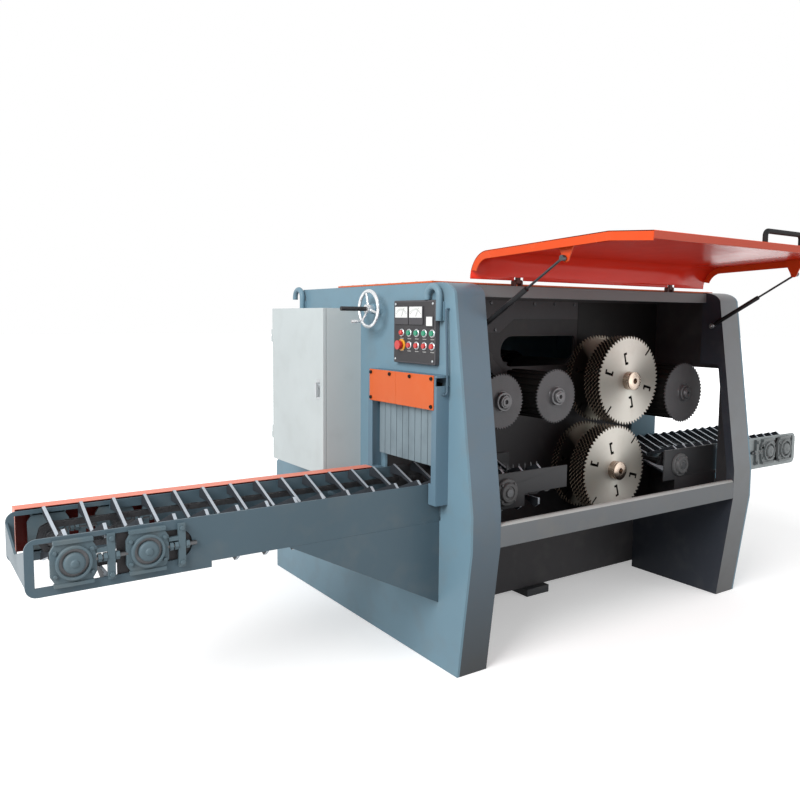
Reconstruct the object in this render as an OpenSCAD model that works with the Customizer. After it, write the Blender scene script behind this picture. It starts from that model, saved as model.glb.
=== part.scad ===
// Multi rip saw. A log rides in on the infeed slat conveyor, is held down by ribbed press
// rollers, is cut by two overhung stacks of circular blades and leaves on the outfeed conveyor.
// Millimetres. x runs along the feed, y from the service side to the rear, z up from the floor.
// The origin is the centre of the four floor anchor holes. Inside the modules, x counts from the
// outer face of the infeed plate and y from the datum line of the service side.

/* [Body] */
// Length of the body along the feed
body_l = 1966; // [1900:1:2200]
// Height of the body
body_h = 1650; // [1640:1:1750]
// Thickness of the two side plates
plate_t = 12; // [8:1:16]
// Width of a front column along the feed
column_w = 159; // [130:1:190]
// Wall of a front column
column_t = 10; // [6:1:14]
// Reach of the column belly in front of the datum line
belly_out = 158; // [140:1:180]
// Reach of the column toe in front of the datum line
toe_out = 83; // [75:1:110]
// Reach of the column shoulder in front of the datum line
shoulder_out = 32; // [20:1:45]
// Depth at which the column nose meets the flat top
nose_y = 76; // [66:1:84]
// Drop from the top of the body to the shoulder
shoulder_drop = 57; // [40:1:80]
// Height of the lower edge of the belly
belly_low_z = 550; // [500:1:600]
// Height of the upper edge of the belly
belly_high_z = 702; // [660:1:760]
// Depth of the rear edge at the top
rear_top_y = 1315; // [1300:1:1400]
// Depth of the rear edge at the floor
rear_low_y = 1676; // [1670:1:1760]
// Height where the rear slope starts
rear_slope_high_z = 900; // [800:1:1000]
// Height where the rear slope ends
rear_slope_low_z = 640; // [500:1:740]

/* [Floor anchors] */
// Diameter of an anchor hole
anchor_hole_d = 22; // [16:1:26]
// Distance between the front and rear anchor holes
anchor_span_y = 1600; // [1580:1:1620]
// Distance from an outer plate face to its anchor holes
anchor_inset_x = 80; // [60:1:100]
// Thickness of the foot plates
foot_t = 15; // [10:1:20]

/* [Sill and top] */
// Height of the sill face
sill_h = 100; // [80:1:120]
// Depth of the top front beam
beam_d = 60; // [50:1:64]
// Height of the top front beam
beam_h = 50; // [40:1:60]
// Rear edge of the orange top cover
cover_back_y = 930; // [800:1:1100]
// Thickness of the orange top cover
cover_t = 8; // [4:1:10]

/* [Hood] */
// Length of the straight part of the hood
hood_straight = 644; // [600:1:680]
// Length of the lip part of the hood
hood_lip = 191; // [150:1:220]
// Sheet thickness of the hood
hood_t = 3; // [2:0.5:5]
// Depth of the hood side flanges
hood_flange = 34; // [20:1:40]
// Gap between the hood and a column
hood_side_gap = 6; // [3:1:12]
// Distance between the legs of the hood handle
handle_l = 250; // [180:1:320]

/* [Saw arbors] */
// Diameter of a saw blade as a share of the body height
blade_share = 0.285; // [0.26:0.005:0.285]
// Thickness of a saw blade
blade_t = 4; // [3:0.5:6]
// Number of blades on each arbor
blade_count = 7; // [5:1:7]
// Distance from blade to blade inside a group
blade_pitch = 23; // [20:1:24]
// Number of teeth on a blade
blade_teeth = 66; // [40:2:72]
// Radius of the arbor under the blades
arbor_r = 45; // [35:1:50]
// Feed position of the lower arbor
lower_arbor_x = 1231; // [1210:1:1240]
// Height of the lower arbor
lower_arbor_z = 714; // [706:1:724]
// Feed offset of the upper arbor
arbor_step_x = 90; // [60:1:110]
// Tip to tip gap between the two blade stacks
blade_gap = 5.6; // [3:0.1:12]

/* [Conveyors] */
// Depth of the outer face of the near rail
lane_front_y = 53; // [50:1:60]
// Width over the two rails
lane_w = 420; // [400:1:440]
// Height of the rail tops
rail_top_z = 806; // [800:1:815]
// Thickness of a rail
rail_t = 8; // [6:1:10]
// Height of the conveyor shafts
shaft_z = 720; // [716:1:726]
// Radius of the conveyor shafts
shaft_r = 17.5; // [15:0.5:18]
// Pitch radius of the conveyor sprockets
sprocket_r = 44; // [43:0.5:46]
// Distance of the infeed tail end from the infeed plate
infeed_reach = 1604; // [1560:1:1700]
// Distance of the outfeed tail end from the outfeed plate
outfeed_reach = 815; // [780:1:900]
// Pitch of the infeed slats
infeed_slat_pitch = 114.3; // [100:0.1:152.4]
// Pitch of the outfeed slats
outfeed_slat_pitch = 76.2; // [70:0.1:114.3]
// Thickness of a slat
slat_t = 12; // [8:1:16]

/* [Press rollers] */
// Diameter of the first infeed press roller
roller_1_d = 260; // [240:1:280]
// Diameter of the second infeed press roller
roller_2_d = 264; // [240:1:280]
// Diameter of the outfeed press roller
roller_3_d = 330; // [300:1:340]
// Length of the ribbed drums
drum_l = 290; // [260:1:296]
// Ribs around a drum
drum_ribs = 20; // [12:1:28]

/* [Infeed guard] */
// How far the guard stands out from the infeed plate
guard_d = 65; // [55:1:90]
// Drop from the top of the body to the guard top
guard_top_drop = 384; // [360:1:400]
// Height of the guard foot
guard_low_z = 722; // [700:1:740]
// Height of the orange guard plate
guard_plate_h = 144; // [120:1:170]
// Number of hanging fingers
finger_count = 9; // [7:1:11]
// Gap between the finger tips and the rail tops
finger_clear = 73; // [45:1:80]

/* [Control panel and handwheel] */
// Width of the control panel
panel_w = 311; // [300:1:330]
// Height of the control panel
panel_h = 274; // [260:1:290]
// Depth of the control panel box
panel_d = 25; // [22:1:40]
// Radius of a push button
button_r = 11; // [9:0.5:12]
// Travel of a push button
button_travel = 4; // [3:0.5:5]
// Distance from button to button
button_pitch = 56.5; // [50:0.5:58]
// Outer diameter of the handwheel
wheel_d = 181; // [160:1:200]
// Radius of the adjusting screw
screw_r = 10; // [8:0.5:12]

/* [Electrical cabinet] */
// Width of the cabinet
cabinet_w = 568; // [500:1:600]
// Height of the cabinet
cabinet_h = 800; // [700:1:840]
// Depth of the cabinet with its door
cabinet_d = 208; // [180:1:240]
// Sheet thickness of the cabinet
cabinet_t = 3; // [2:0.5:4]

/* [Drives] */
// Radius of a main motor
motor_r = 200; // [170:1:215]
// Length of a main motor
motor_l = 480; // [420:1:500]
// Radius of a motor pulley
motor_pulley_r = 140; // [110:1:150]
// Radius of an arbor pulley
arbor_pulley_r = 110; // [90:1:120]
// Width of the belt sets
belt_w = 130; // [100:1:140]

/* [Hidden] */
$fn = 64;
// Overrun of every cut, running clearance of every fit, and gap between moving faces
overrun = 2;
fit = 0.05;
face_gap = 0.3;

// Colours
blue_paint = [0.42, 0.53, 0.60];
dark_paint = [0.22, 0.23, 0.24];
black_paint = [0.10, 0.10, 0.11];
orange_paint = [0.90, 0.36, 0.16];
pale_paint = [0.82, 0.87, 0.88];
steel = [0.72, 0.72, 0.70];
dark_steel = [0.32, 0.33, 0.34];
rubber_black = [0.08, 0.08, 0.08];

// Frame of the modules
anchor_front_y = -20;
datum_y = -(anchor_front_y + anchor_span_y / 2);
nose_steps = 8;
shoulder_z = body_h - shoulder_drop;

// Lane of the log through the machine
lane_back_y = lane_front_y + lane_w;
lane_y = lane_front_y + lane_w / 2;
opening_gap = 7;
opening_y = lane_front_y - opening_gap;
opening_w = lane_w + 2 * opening_gap;
opening_z = 590;
guard_top_z = body_h - guard_top_drop;
guard_head = 34;
opening_top_z = guard_top_z - guard_head;
column_gap = 13;
column_back_y = lane_front_y - column_gap;
column_head_rise = 30;
column_head_z = opening_top_z + column_head_rise;
wall_gap = 17;
wall_y = lane_back_y + wall_gap;
wall_t = 15;
wall_back_y = wall_y + wall_t;
wall_low_z = 40;
wall_top_drop = 10;

// Frame pieces
foot_gap = 1;
rear_foot_w = 148;
rear_foot_l = 280;
rear_foot_gap = 16;
rear_foot_y = rear_low_y - rear_foot_gap - rear_foot_l;
tube_w = 100;
tube_h = 70;
rear_tube_h = 100;
shelf_t = 20;
post_w = 40;
motor_pad_side = 70;
centre_foot_w = 162;
centre_foot_y = 450;
sill_rise = 1;
sill_z = belly_low_z + sill_rise;
sill_t = 8;
sill_d = 60;
column_lip_d = 45;
column_lip_y = column_lip_d - belly_out;
column_head_y = column_lip_y + (belly_out - shoulder_out) * (column_head_z - belly_high_z)
    / (shoulder_z - belly_high_z);
column_lip_z = 480;
column_foot_z = 200;
sill_fall = 12;
chute_t = 6;
chute_blade_gap = 149;
beam_y = 55;
beam_top_drop = 5;
beam_t = 6;
cover_front_gap = 10;
panel_t = 4;
sheet_inset = 6;

// Hood and its hinges
hinge_y = 84;
hinge_rise = 14;
hinge_z = body_h + hinge_rise;
hinge_r = 11;
hinge_pin_r = 6;
hinge_lug_t = 12;
hinge_leaf_w = 24;
hinge_side_gap = 2;
hinge_notch = 16;
hinge_leaf_l = 36;
hinge_leaf_t = 12;
hinge_inset_x = 443;
hood_end_y = 76;
hood_end_rise = 20;
hood_round_y = 108;
hood_round_z = 114;
hood_slope_rise = 23;
hood_lip_fall = 14;
hood_flange_start = 50;
hood_flange_t = 4;
hood_hem = 28;
hood_x = column_w + hood_side_gap;
hood_l = body_l - 2 * hood_x;
hood_front_y = hood_end_y - hood_round_y;
hood_arc_z = body_h + hood_end_rise;
hood_top_z = hood_arc_z + hood_round_z;
handle_r = 10;
handle_h = 57;
handle_back = 32;

// Gas struts
strut_foot_y = 0;
strut_foot_drop = 180;
strut_head_y = -448;
strut_head_rise = 78;
strut_side = 21;
strut_eye_w = 16;
strut_eye_r = 13;
strut_pin_r = 6;
strut_tube_r = 11;
strut_tube_l = 297;
strut_neck_r = 7;
strut_neck_l = 20;
strut_floor = 10;
strut_rod_r = 5;
strut_rod_hold = 57;
strut_stud_l = 7.7;
strut_bracket_t = 6;
strut_bracket_w = 100;
strut_bracket_r = 16;
strut_foot_z = body_h - strut_foot_drop;
strut_head_z = body_h + strut_head_rise;
strut_l = norm([strut_head_y - strut_foot_y, strut_head_z - strut_foot_z]);
strut_turn = atan2(strut_head_z - strut_foot_z, strut_head_y - strut_foot_y);
strut_x = column_w + strut_side;

// Arbors and blades
blade_d = round(blade_share * body_h);
upper_arbor_x = lower_arbor_x + arbor_step_x;
upper_arbor_z = lower_arbor_z + sqrt(pow(blade_d + blade_gap, 2) - pow(arbor_step_x, 2));
near_blades = 5;
group_gap = 107;
stack_front = 100;
stack_y = lane_y - stack_front;
chute_low_z = lower_arbor_z - blade_d / 2 - chute_blade_gap;
tooth_h = 13;
tooth_lean_share = 0.75;
slot_w = 7;
rim_slot_l = 52;
rim_slot_turns = [45, 225];
inner_slot_hook = 16;
inner_slots = [[105, 0.36, 0.64], [165, 0.54, 0.81], [285, 0.36, 0.64], [345, 0.54, 0.81]];
collar_r = 62;
flange_r = 80;
flange_t = 22;
nut_r = 48;
nut_l = 44;
nut_hole_r = 15;
nut_hole_l = 30;
housing_r = 95;
housing_l = 480;
housing_flange_r = 130;
housing_flange_t = 20;
wall_hole_gap = 15;
belt_clear = 0.4;
belt_t = 12;
belt_inset = 5;
belt_steps = 32;

// Main motors and feed gear motors
motor_x = 760;
upper_motor_z = 1000;
lower_motor_z = 330;
motor_axis_h = 225;
motor_gap = 25;
motor_y = wall_back_y + motor_gap;
pulley_gap = 50;
pulley_y = motor_y + motor_l + pulley_gap;
motor_foot_w = 380;
motor_foot_t = 30;
motor_foot_inset = 60;
motor_shaft_r = 30;
motor_box_w = 180;
motor_box_h = 70;
motor_fan_r_share = 0.96;
motor_fan_l = 60;
gearbox_w = 160;
gearbox_d = 120;
gear_motor_r = 65;
gear_motor_l = 260;

// Conveyors
slat_tip_h = 102;
infeed_tail_inset = 142;
infeed_idler_inset = 375;
infeed_drive_x = 375;
infeed_head_x = 640;
infeed_inner_x = 763;
outfeed_blade_gap = 34;
outfeed_inner_x = lower_arbor_x + blade_d / 2 + outfeed_blade_gap;
outfeed_drive_share = 0.125;
outfeed_room = body_l - plate_t - outfeed_inner_x;
outfeed_drive_inset = slat_tip_h - outfeed_blade_gap + round(outfeed_drive_share * outfeed_room);
outfeed_drive_x = outfeed_inner_x + outfeed_drive_inset;
outfeed_idler_inset = 317;
outfeed_tail_inset = 140;
rail_low_z = 641;
rail_end_low_z = 619;
rail_end_l = 600;
rail_tongue_x = 490;
rail_tongue_z = 700;
rail_corner_r = 36;
corner_steps = 6;
window_inset = 29;
window_h = 140;
window_long = 325;
window_narrow_h = 106;
window_narrow_l = 124;
shaft_hole_r = 25;
tie_r = 10;
infeed_tie_shares = [0.34, 0.55, 0.8];
outfeed_tie_shares = [0.34, 0.55];
pad_h = 120;
pad_rise = 19;
wall_pad_back = 303;
wall_pad_rise = 25;
wall_pad_w = 60;
end_plate_dip = 60;
chain_h = 24;
chain_plate_t = 4;
chain_gap = 9;
chain_side = 120;
chain_steps = 24;
slat_gap = 3;
slat_split = 1;
slat_phase_share = 0.92;
slat_tip_in = 22;
slat_end_h = 86;
slat_mid_low_h = 20;
slat_mid_h = 32;
slat_seat = 11;
sprocket_t = 8;
sprocket_tip = 6;
sprocket_teeth = 7;
link_roller_r = 11;
hub_r = 28;
hub_w = 40;
bearing_t = 14;
bearing_r = 62;
bearing_boss_r = 45;
head_bush_r = 30;
head_bush_l = 14;
head_end_gap = 1;
bearing_boss_l = 14;
far_bearing_t = 12;
takeup_w = 140;
takeup_h = 150;
takeup_screw_r = 8;
takeup_screw_l = 40;
takeup_strap_w = 40;
takeup_strap_t = 12;
shaft_end = 2;
cover_w = 67;
cover_rise = 6;
cover_low_z = 640;
cover_sheet = 3;
cover_end_gap = 5;
cover_tail_gap = 32;

// Press rollers: feed position and height of each axis, then their common pieces
roller_blade_gap = 17;
roller_3_x = upper_arbor_x + blade_d / 2 + roller_blade_gap + roller_3_d / 2;
roller_x = [405, 750, roller_3_x];
roller_z = [1123, 1130, 1101];
roller_d = [roller_1_d, roller_2_d, roller_3_d];
arm_dx = 170;
arm_dz = 170;
roller_y = 125;
disc_t = 8;
disc_teeth = 72;
disc_tooth_h = 4;
drum_drop = 14;
rib_h = 8;
roller_hub_r = 45;
roller_hub_l = 20;
roller_nut_r = 28;
roller_nut_l = 12;
roller_shaft_r = 20;
arm_inset = 33;
arm_y = lane_back_y - arm_inset;
arm_t = 25;
arm_boss_r = 40;
arm_w = 52;
arm_pin_r = 22;
arm_pin_over = 4;
wall_slot_x = 712;
wall_slot_l = 538;
wall_slot_drop = 399;
wall_slot_z = body_h - wall_slot_drop;
wall_slot_h = 159;

// Infeed guard
guard_margin = 55;
guard_y = lane_front_y - guard_margin;
guard_w = lane_w + 2 * guard_margin;
guard_t = 10;
guard_flange = 24;
guard_flange_t = 6;
guard_block_h = 90;
guard_window_h = 44;
guard_block_d = 45;
guard_block_gap = 5;
finger_bar_r = 10;
finger_bar_drop = 76;
finger_bar_out = 30;
finger_t = 10;
finger_gap = 4;
finger_eye_r = 18;
finger_side = 11;
guard_plate_t = 4;
guard_plate_side = 17;
guard_screw_r = 7;
guard_screw_h = 5;
guard_screw_inset = 14;
guard_screw_columns = 4;

// Control panel
panel_y = 66;
panel_top_drop = 73;
panel_z = body_h - panel_top_drop - panel_h;
first_button_inset = 17;
first_button_y = panel_y + first_button_inset;
row_rises = [79, 133];
row_z = [for (rise = row_rises) panel_z + rise];
bezel_r = 16;
bezel_h = 6;
button_l = 18;
button_out = 6;
button_room = 2;
stop_bezel_r = 24;
stop_head_r = 20;
stop_head_l = 16;
lamp_h = 10;
meter_w = 102;
meter_h = 49;
meter_d = 8;
meter_top_drop = 27;
meter_left = [82, 191];
meter_small_w = 48;
meter_small_h = 41;
meter_small_z = 163;
meter_small_y = 4;

// Handwheel and adjusting screw
wheel_drop = 109;
wheel_z = body_h - wheel_drop;
boss_l = 45;
boss_r = 24;
wheel_hub_l = 33;
wheel_hub_r = 20;
wheel_rim_r = 8.5;
wheel_spoke_r = 6;
crank_r = 7;
crank_l = 50;
crank_turn = -45;
screw_out = 131;
screw_in = 350;
guide_x = 300;
guide_w = 40;
guide_d = 56;
wheel_y = wall_back_y + guide_d / 2;

// Lifting hooks
hook_bar_r = 14;
hook_bend_r = 42;
hook_short_l = 12;
hook_long_l = 100;
hook_pad_t = 8;
hook_pad_l = 80;
hook_front_rise = -4;
hook_rear_rise = 15;
hook_front_y = 47;
hook_rear_inset = 25;

// Electrical cabinet
cabinet_hook_gap = 4;
cabinet_y = rear_top_y - hook_rear_inset - hook_bar_r - cabinet_hook_gap - cabinet_w;
cabinet_top_drop = 105;
cabinet_z = body_h - cabinet_top_drop - cabinet_h;
door_t = 16;
door_gap = 2;
door_side_gap = 3;
door_sheet = 3;
door_hinge_side = 10;
door_hinge_pin_r = 4;
door_knuckle_r = 7;
door_lug_h = 30;
door_knuckle_h = 36;
door_lug_back = 24;
door_hinge_inset = 110;
lock_y = 48;
lock_rise = 430;
lock_r = 14;
lock_h = 6;
lock_pin_r = 6;
lock_lever_l = 70;
lock_lever_w = 16;
lock_lever_h = 10;

// Placing helpers
module in_frame() { translate([-body_l / 2, datum_y, 0]) children(); }

module along_x(x, l) { translate([x, 0, 0]) rotate([90, 0, 90]) linear_extrude(l) children(); }

module along_y(y, l) { translate([0, y + l, 0]) rotate([90, 0, 0]) linear_extrude(l) children(); }

module rod_x(x, y, z, r, l) { translate([x, y, z]) rotate([0, 90, 0]) cylinder(r = r, h = l); }

module rod_y(x, y, z, r, l) { translate([x, y, z]) rotate([-90, 0, 0]) cylinder(r = r, h = l); }

module block(low, size) { translate(low) cube(size); }

// Draws the children at the infeed end, or mirrored at the outfeed end
module at_end(outfeed) {
    translate([outfeed ? body_l : 0, 0, 0]) mirror([outfeed ? 1 : 0, 0, 0]) children();
}

module both_ends() {
    for (outfeed = [false, true])
        at_end(outfeed) children();
}

// Outline of the front of the body, inset by a wall, in depth and height
function nose_points(wall) = [for (i = [0:nose_steps])
    let (a = 90 * i / nose_steps, back = nose_y - wall)
    [back - (back + shoulder_out - wall) * cos(a), shoulder_z + (body_h - wall - shoulder_z) * sin(a)]];

function front_points(wall, low) = concat(
    [[wall - toe_out, low], [wall - belly_out, belly_low_z], [wall - belly_out, belly_high_z]],
    nose_points(wall));

// Infeed and outfeed side plates
module side_plate() {
    outline = concat(front_points(0, 0), [[rear_top_y, body_h], [rear_top_y, rear_slope_high_z],
        [rear_low_y, rear_slope_low_z], [rear_low_y, 0]]);
    difference() {
        along_x(0, plate_t) polygon(outline);
        block([-overrun, opening_y, opening_z],
            [plate_t + 2 * overrun, opening_w, opening_top_z - opening_z]);
    }
}

module infeed_side_plate() {
    color(blue_paint) in_frame() difference() {
        union() {
            side_plate();
            rod_x(-boss_l, wheel_y, wheel_z, boss_r, boss_l);
        }
        rod_x(-boss_l - overrun, wheel_y, wheel_z, screw_r + fit, boss_l + plate_t + 2 * overrun);
    }
}

module outfeed_side_plate() { color(blue_paint) in_frame() at_end(true) side_plate(); }

// Box-section front columns, deep at head and foot, open below, with the stud for the gas strut.
// Under the chute the inner wall of each runs back to the chamber wall.
module column_outline(wall, low) {
    polygon(concat(front_points(wall, low), [[nose_y - wall, column_head_z + wall],
        [column_head_y - wall, column_head_z + wall], [column_lip_y - wall, belly_high_z],
        [column_lip_y - wall, column_lip_z], [column_back_y - wall, column_foot_z],
        [column_back_y - wall, low]]));
}

module column() {
    difference() {
        along_x(plate_t, column_w - plate_t) column_outline(0, 0);
        along_x(plate_t - overrun, column_w - plate_t - column_t + overrun)
            column_outline(column_t, -overrun);
    }
    along_x(column_w - column_t, column_t) polygon([[column_back_y - column_t, 0],
        [column_lip_y - column_t, column_lip_z], [column_lip_y - column_t, sill_z],
        [wall_y, chute_low_z - chute_t], [wall_y, 0]]);
    rod_x(column_w - column_t, strut_foot_y, strut_foot_z, strut_pin_r,
        column_t + strut_side + strut_eye_w / 2 + overrun);
}

module front_columns() { color(blue_paint) in_frame() both_ends() column(); }

// Front sill channel and the chip chute that runs down from it to the chamber wall
module front_sill() {
    face = -belly_out;
    top = sill_z + sill_h;
    back = face + sill_d;
    chute_top = sill_z + sill_t;
    color(blue_paint) in_frame() along_x(column_w, body_l - 2 * column_w) {
        polygon([[face, sill_z], [face, top], [back, top - sill_fall],
            [back, top - sill_fall - sill_t], [face + sill_t, top - sill_t],
            [face + sill_t, chute_top], [back, chute_top], [wall_y, chute_low_z],
            [wall_y, chute_low_z - chute_t], [back, sill_z]]);
    }
}

// Top front beam with the fixed lugs and pins of the two hood hinges
hinge_half = hinge_leaf_w / 2 + hinge_side_gap + hinge_lug_t;
hinge_xs = [hinge_inset_x, body_l - hinge_inset_x];
beam_top_z = body_h - beam_top_drop;

module top_front_beam() {
    color(dark_paint) in_frame() {
        difference() {
            block([column_w, beam_y, beam_top_z - beam_h], [body_l - 2 * column_w, beam_d, beam_h]);
            block([column_w + beam_t, beam_y + beam_t, beam_top_z - beam_h - overrun],
                [body_l - 2 * column_w - 2 * beam_t, beam_d - 2 * beam_t, beam_h - beam_t + overrun]);
        }
        for (x = hinge_xs) {
            for (lug_x = [x - hinge_half, x + hinge_half - hinge_lug_t]) {
                rod_x(lug_x, hinge_y, hinge_z, hinge_r, hinge_lug_t);
                block([lug_x, hinge_y - hinge_r, beam_top_z],
                    [hinge_lug_t, 2 * hinge_r, hinge_z - beam_top_z]);
            }
            rod_x(x - hinge_half, hinge_y, hinge_z, hinge_pin_r, 2 * hinge_half);
        }
    }
}

// Chamber wall that carries the arbors, the arm pins and the guide of the adjusting screw
module chamber_wall() {
    wall_h = body_h - wall_top_drop - wall_low_z;
    slot_r = wall_slot_h / 2;
    color(black_paint) in_frame() {
        difference() {
            block([plate_t, wall_y, wall_low_z], [body_l - 2 * plate_t, wall_t, wall_h]);
            rod_y(upper_arbor_x, wall_y - overrun, upper_arbor_z, arbor_r + wall_hole_gap,
                wall_t + 2 * overrun);
            rod_y(lower_arbor_x, wall_y - overrun, lower_arbor_z, arbor_r + wall_hole_gap,
                wall_t + 2 * overrun);
            for (x = [infeed_drive_x, outfeed_drive_x])
                rod_y(x, wall_y - overrun, shaft_z, shaft_hole_r, wall_t + 2 * overrun);
            rod_y(wall_slot_x + slot_r, wall_y - overrun, wall_slot_z + slot_r, slot_r,
                wall_t + 2 * overrun);
            block([wall_slot_x + slot_r, wall_y - overrun, wall_slot_z],
                [wall_slot_l - slot_r, wall_t + 2 * overrun, wall_slot_h]);
        }
        for (i = [0:2])
            rod_y(roller_x[i] - arm_dx, arm_y - arm_pin_over, roller_z[i] + arm_dz, arm_pin_r,
                wall_y - arm_y + arm_pin_over);
        difference() {
            block([guide_x, wall_back_y, wheel_z - guide_d / 2], [guide_w, guide_d, guide_d]);
            rod_x(guide_x - overrun, wheel_y, wheel_z, screw_r + fit, guide_w + 2 * overrun);
        }
    }
}

// Orange cover plate on top of the body
module top_cover() {
    front = beam_y + beam_d + cover_front_gap;
    color(orange_paint) in_frame()
        block([0, front, body_h], [body_l, cover_back_y - front, cover_t]);
}

// Foot plates with the anchor holes, cross tubes, motor bed and motor shelf
module foot_plate(y, w, l) {
    difference() {
        block([plate_t, y, 0], [w, l, foot_t]);
        for (hole_y = [anchor_front_y, anchor_front_y + anchor_span_y])
            translate([anchor_inset_x, hole_y, -overrun])
                cylinder(d = anchor_hole_d, h = foot_t + 2 * overrun);
    }
}

shelf_w = motor_foot_w + 2 * motor_pad_side;
shelf_x = motor_x - shelf_w / 2;
shelf_z = upper_motor_z - motor_axis_h - shelf_t;
bed_z = lower_motor_z - motor_axis_h - shelf_t;
shelf_l = motor_l + motor_pad_side;

module base_frame() {
    tube_z = bed_z - tube_h;
    color(dark_paint) in_frame() {
        both_ends() {
            front_low = column_t - toe_out + foot_gap;
            foot_plate(front_low, column_w - plate_t - column_t, column_back_y - column_t - front_low);
            foot_plate(rear_foot_y, rear_foot_w, rear_foot_l);
        }
        block([plate_t, rear_foot_y, foot_t], [body_l - 2 * plate_t, tube_w, rear_tube_h]);
        for (y = [wall_back_y + tube_w / 2, wall_back_y + shelf_l - tube_w])
            block([plate_t, y, tube_z], [body_l - 2 * plate_t, tube_w, tube_h]);
        block([shelf_x, wall_back_y, bed_z], [shelf_w, shelf_l, shelf_t]);
        block([shelf_x, wall_back_y, shelf_z], [shelf_w, shelf_l, shelf_t]);
        for (x = [shelf_x, shelf_x + shelf_w - post_w])
            block([x, wall_back_y + shelf_l - post_w, bed_z + shelf_t],
                [post_w, post_w, shelf_z - bed_z - shelf_t]);
        block([(body_l - centre_foot_w) / 2, centre_foot_y, 0],
            [centre_foot_w, wall_back_y + tube_w - centre_foot_y, wall_low_z]);
    }
}

// Blue sheet panels that close the rear and the back of the top
module rear_panels() {
    top = body_h - sheet_inset;
    color(blue_paint) in_frame() along_x(plate_t, body_l - 2 * plate_t) polygon([
        [cover_back_y, top], [rear_top_y, top], [rear_top_y, rear_slope_high_z],
        [rear_low_y, rear_slope_low_z], [rear_low_y, foot_t + sheet_inset],
        [rear_low_y - panel_t, foot_t + sheet_inset],
        [rear_low_y - panel_t, rear_slope_low_z - panel_t / 2],
        [rear_top_y - panel_t, rear_slope_high_z - panel_t / 2],
        [rear_top_y - panel_t, top - panel_t], [cover_back_y, top - panel_t]]);
}

// Four cane-shaped lifting hooks welded to the outer faces of the side plates
module lifting_hook(y, rise) {
    bar_x = -hook_pad_t - hook_bar_r + overrun;
    bend_z = body_h + rise - hook_bend_r - hook_bar_r;
    translate([bar_x, y, bend_z]) {
        translate([0, hook_bend_r, 0]) rotate([90, 0, 90])
            rotate_extrude(angle = 180) translate([hook_bend_r, 0]) circle(r = hook_bar_r);
        translate([0, 0, -hook_long_l]) cylinder(r = hook_bar_r, h = hook_long_l);
        translate([0, 2 * hook_bend_r, -hook_short_l]) cylinder(r = hook_bar_r, h = hook_short_l);
    }
    block([-hook_pad_t, y - hook_bar_r, bend_z - hook_long_l],
        [hook_pad_t, 2 * hook_bar_r, hook_pad_l]);
}

module lifting_hooks() {
    color(blue_paint) in_frame() both_ends() {
        lifting_hook(hook_front_y, hook_front_rise);
        lifting_hook(rear_top_y - hook_rear_inset, hook_rear_rise);
    }
}

// Guard box around the infeed opening, with the bar that the fingers hang on
finger_bar_z = guard_top_z - finger_bar_drop;
finger_l = finger_bar_z - rail_top_z - finger_clear;

module infeed_guard_box() {
    guard_h = guard_top_z - guard_low_z;
    inner_w = guard_w - 2 * guard_t;
    block_w = lane_front_y - guard_y - guard_t - guard_block_gap;
    color(blue_paint) in_frame() {
        block([-guard_d, guard_y, guard_low_z], [guard_d, guard_t, guard_h - guard_window_h]);
        block([-guard_d, guard_y + guard_w - guard_t, guard_low_z], [guard_d, guard_t, guard_h]);
        block([-guard_d, guard_y, guard_top_z - guard_t], [guard_d, guard_w - guard_t, guard_t]);
        for (y = [guard_y + guard_t, guard_y + guard_w - guard_t - guard_flange])
            block([-guard_d, y, guard_low_z], [guard_flange_t, guard_flange, guard_h - guard_t]);
        for (y = [guard_y + guard_t, guard_y + guard_w - guard_t - block_w])
            block([-guard_d, y, guard_low_z], [guard_block_d, block_w, guard_block_h]);
        rod_y(-finger_bar_out, guard_y + guard_t, finger_bar_z, finger_bar_r, inner_w);
    }
}

// Orange plate on the guard, with its screws
module infeed_guard_plate() {
    low_z = guard_top_z - guard_plate_h;
    plate_y = guard_y + guard_plate_side;
    plate_w = guard_w - 2 * guard_plate_side;
    screw_step = (plate_w - 2 * guard_screw_inset) / (guard_screw_columns - 1);
    color(orange_paint) in_frame() {
        block([-guard_d - guard_plate_t, plate_y, low_z], [guard_plate_t, plate_w, guard_plate_h]);
        for (i = [0:guard_screw_columns - 1])
            rod_x(-guard_d - guard_plate_t - guard_screw_h, plate_y + guard_screw_inset + i * screw_step,
                guard_top_z - guard_screw_inset, guard_screw_r, guard_screw_h);
        for (i = [0, guard_screw_columns - 1])
            rod_x(-guard_d - guard_plate_t - guard_screw_h, plate_y + guard_screw_inset + i * screw_step,
                low_z + guard_screw_inset, guard_screw_r, guard_screw_h);
    }
}

// Hanging steel fingers, each with its eye on the guard bar
module kickback_fingers() {
    lane_in = opening_w - 2 * (finger_side - opening_gap);
    pitch = lane_in / finger_count;
    width = pitch - finger_gap;
    first_y = lane_y - lane_in / 2 + finger_gap / 2;
    color(steel) in_frame() for (i = [0:finger_count - 1]) difference() {
        union() {
            rod_y(-finger_bar_out, first_y + i * pitch, finger_bar_z, finger_eye_r, width);
            block([-finger_bar_out - finger_t / 2, first_y + i * pitch, finger_bar_z - finger_l],
                [finger_t, width, finger_l]);
        }
        rod_y(-finger_bar_out, first_y + i * pitch - overrun, finger_bar_z, finger_bar_r + fit,
            width + 2 * overrun);
    }
}

// Electrical cabinet on the infeed plate: shell with hinge pins, door, and turn lock
shell_d = cabinet_d - door_t - door_gap;
door_hinge_x = -cabinet_d + door_t / 2;
door_hinge_y = cabinet_y + cabinet_w + door_hinge_side;
door_hinge_h = door_lug_h + door_knuckle_h;
door_hinge_zs = [cabinet_z + door_hinge_inset, cabinet_z + cabinet_h - door_hinge_inset - door_hinge_h];

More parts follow.
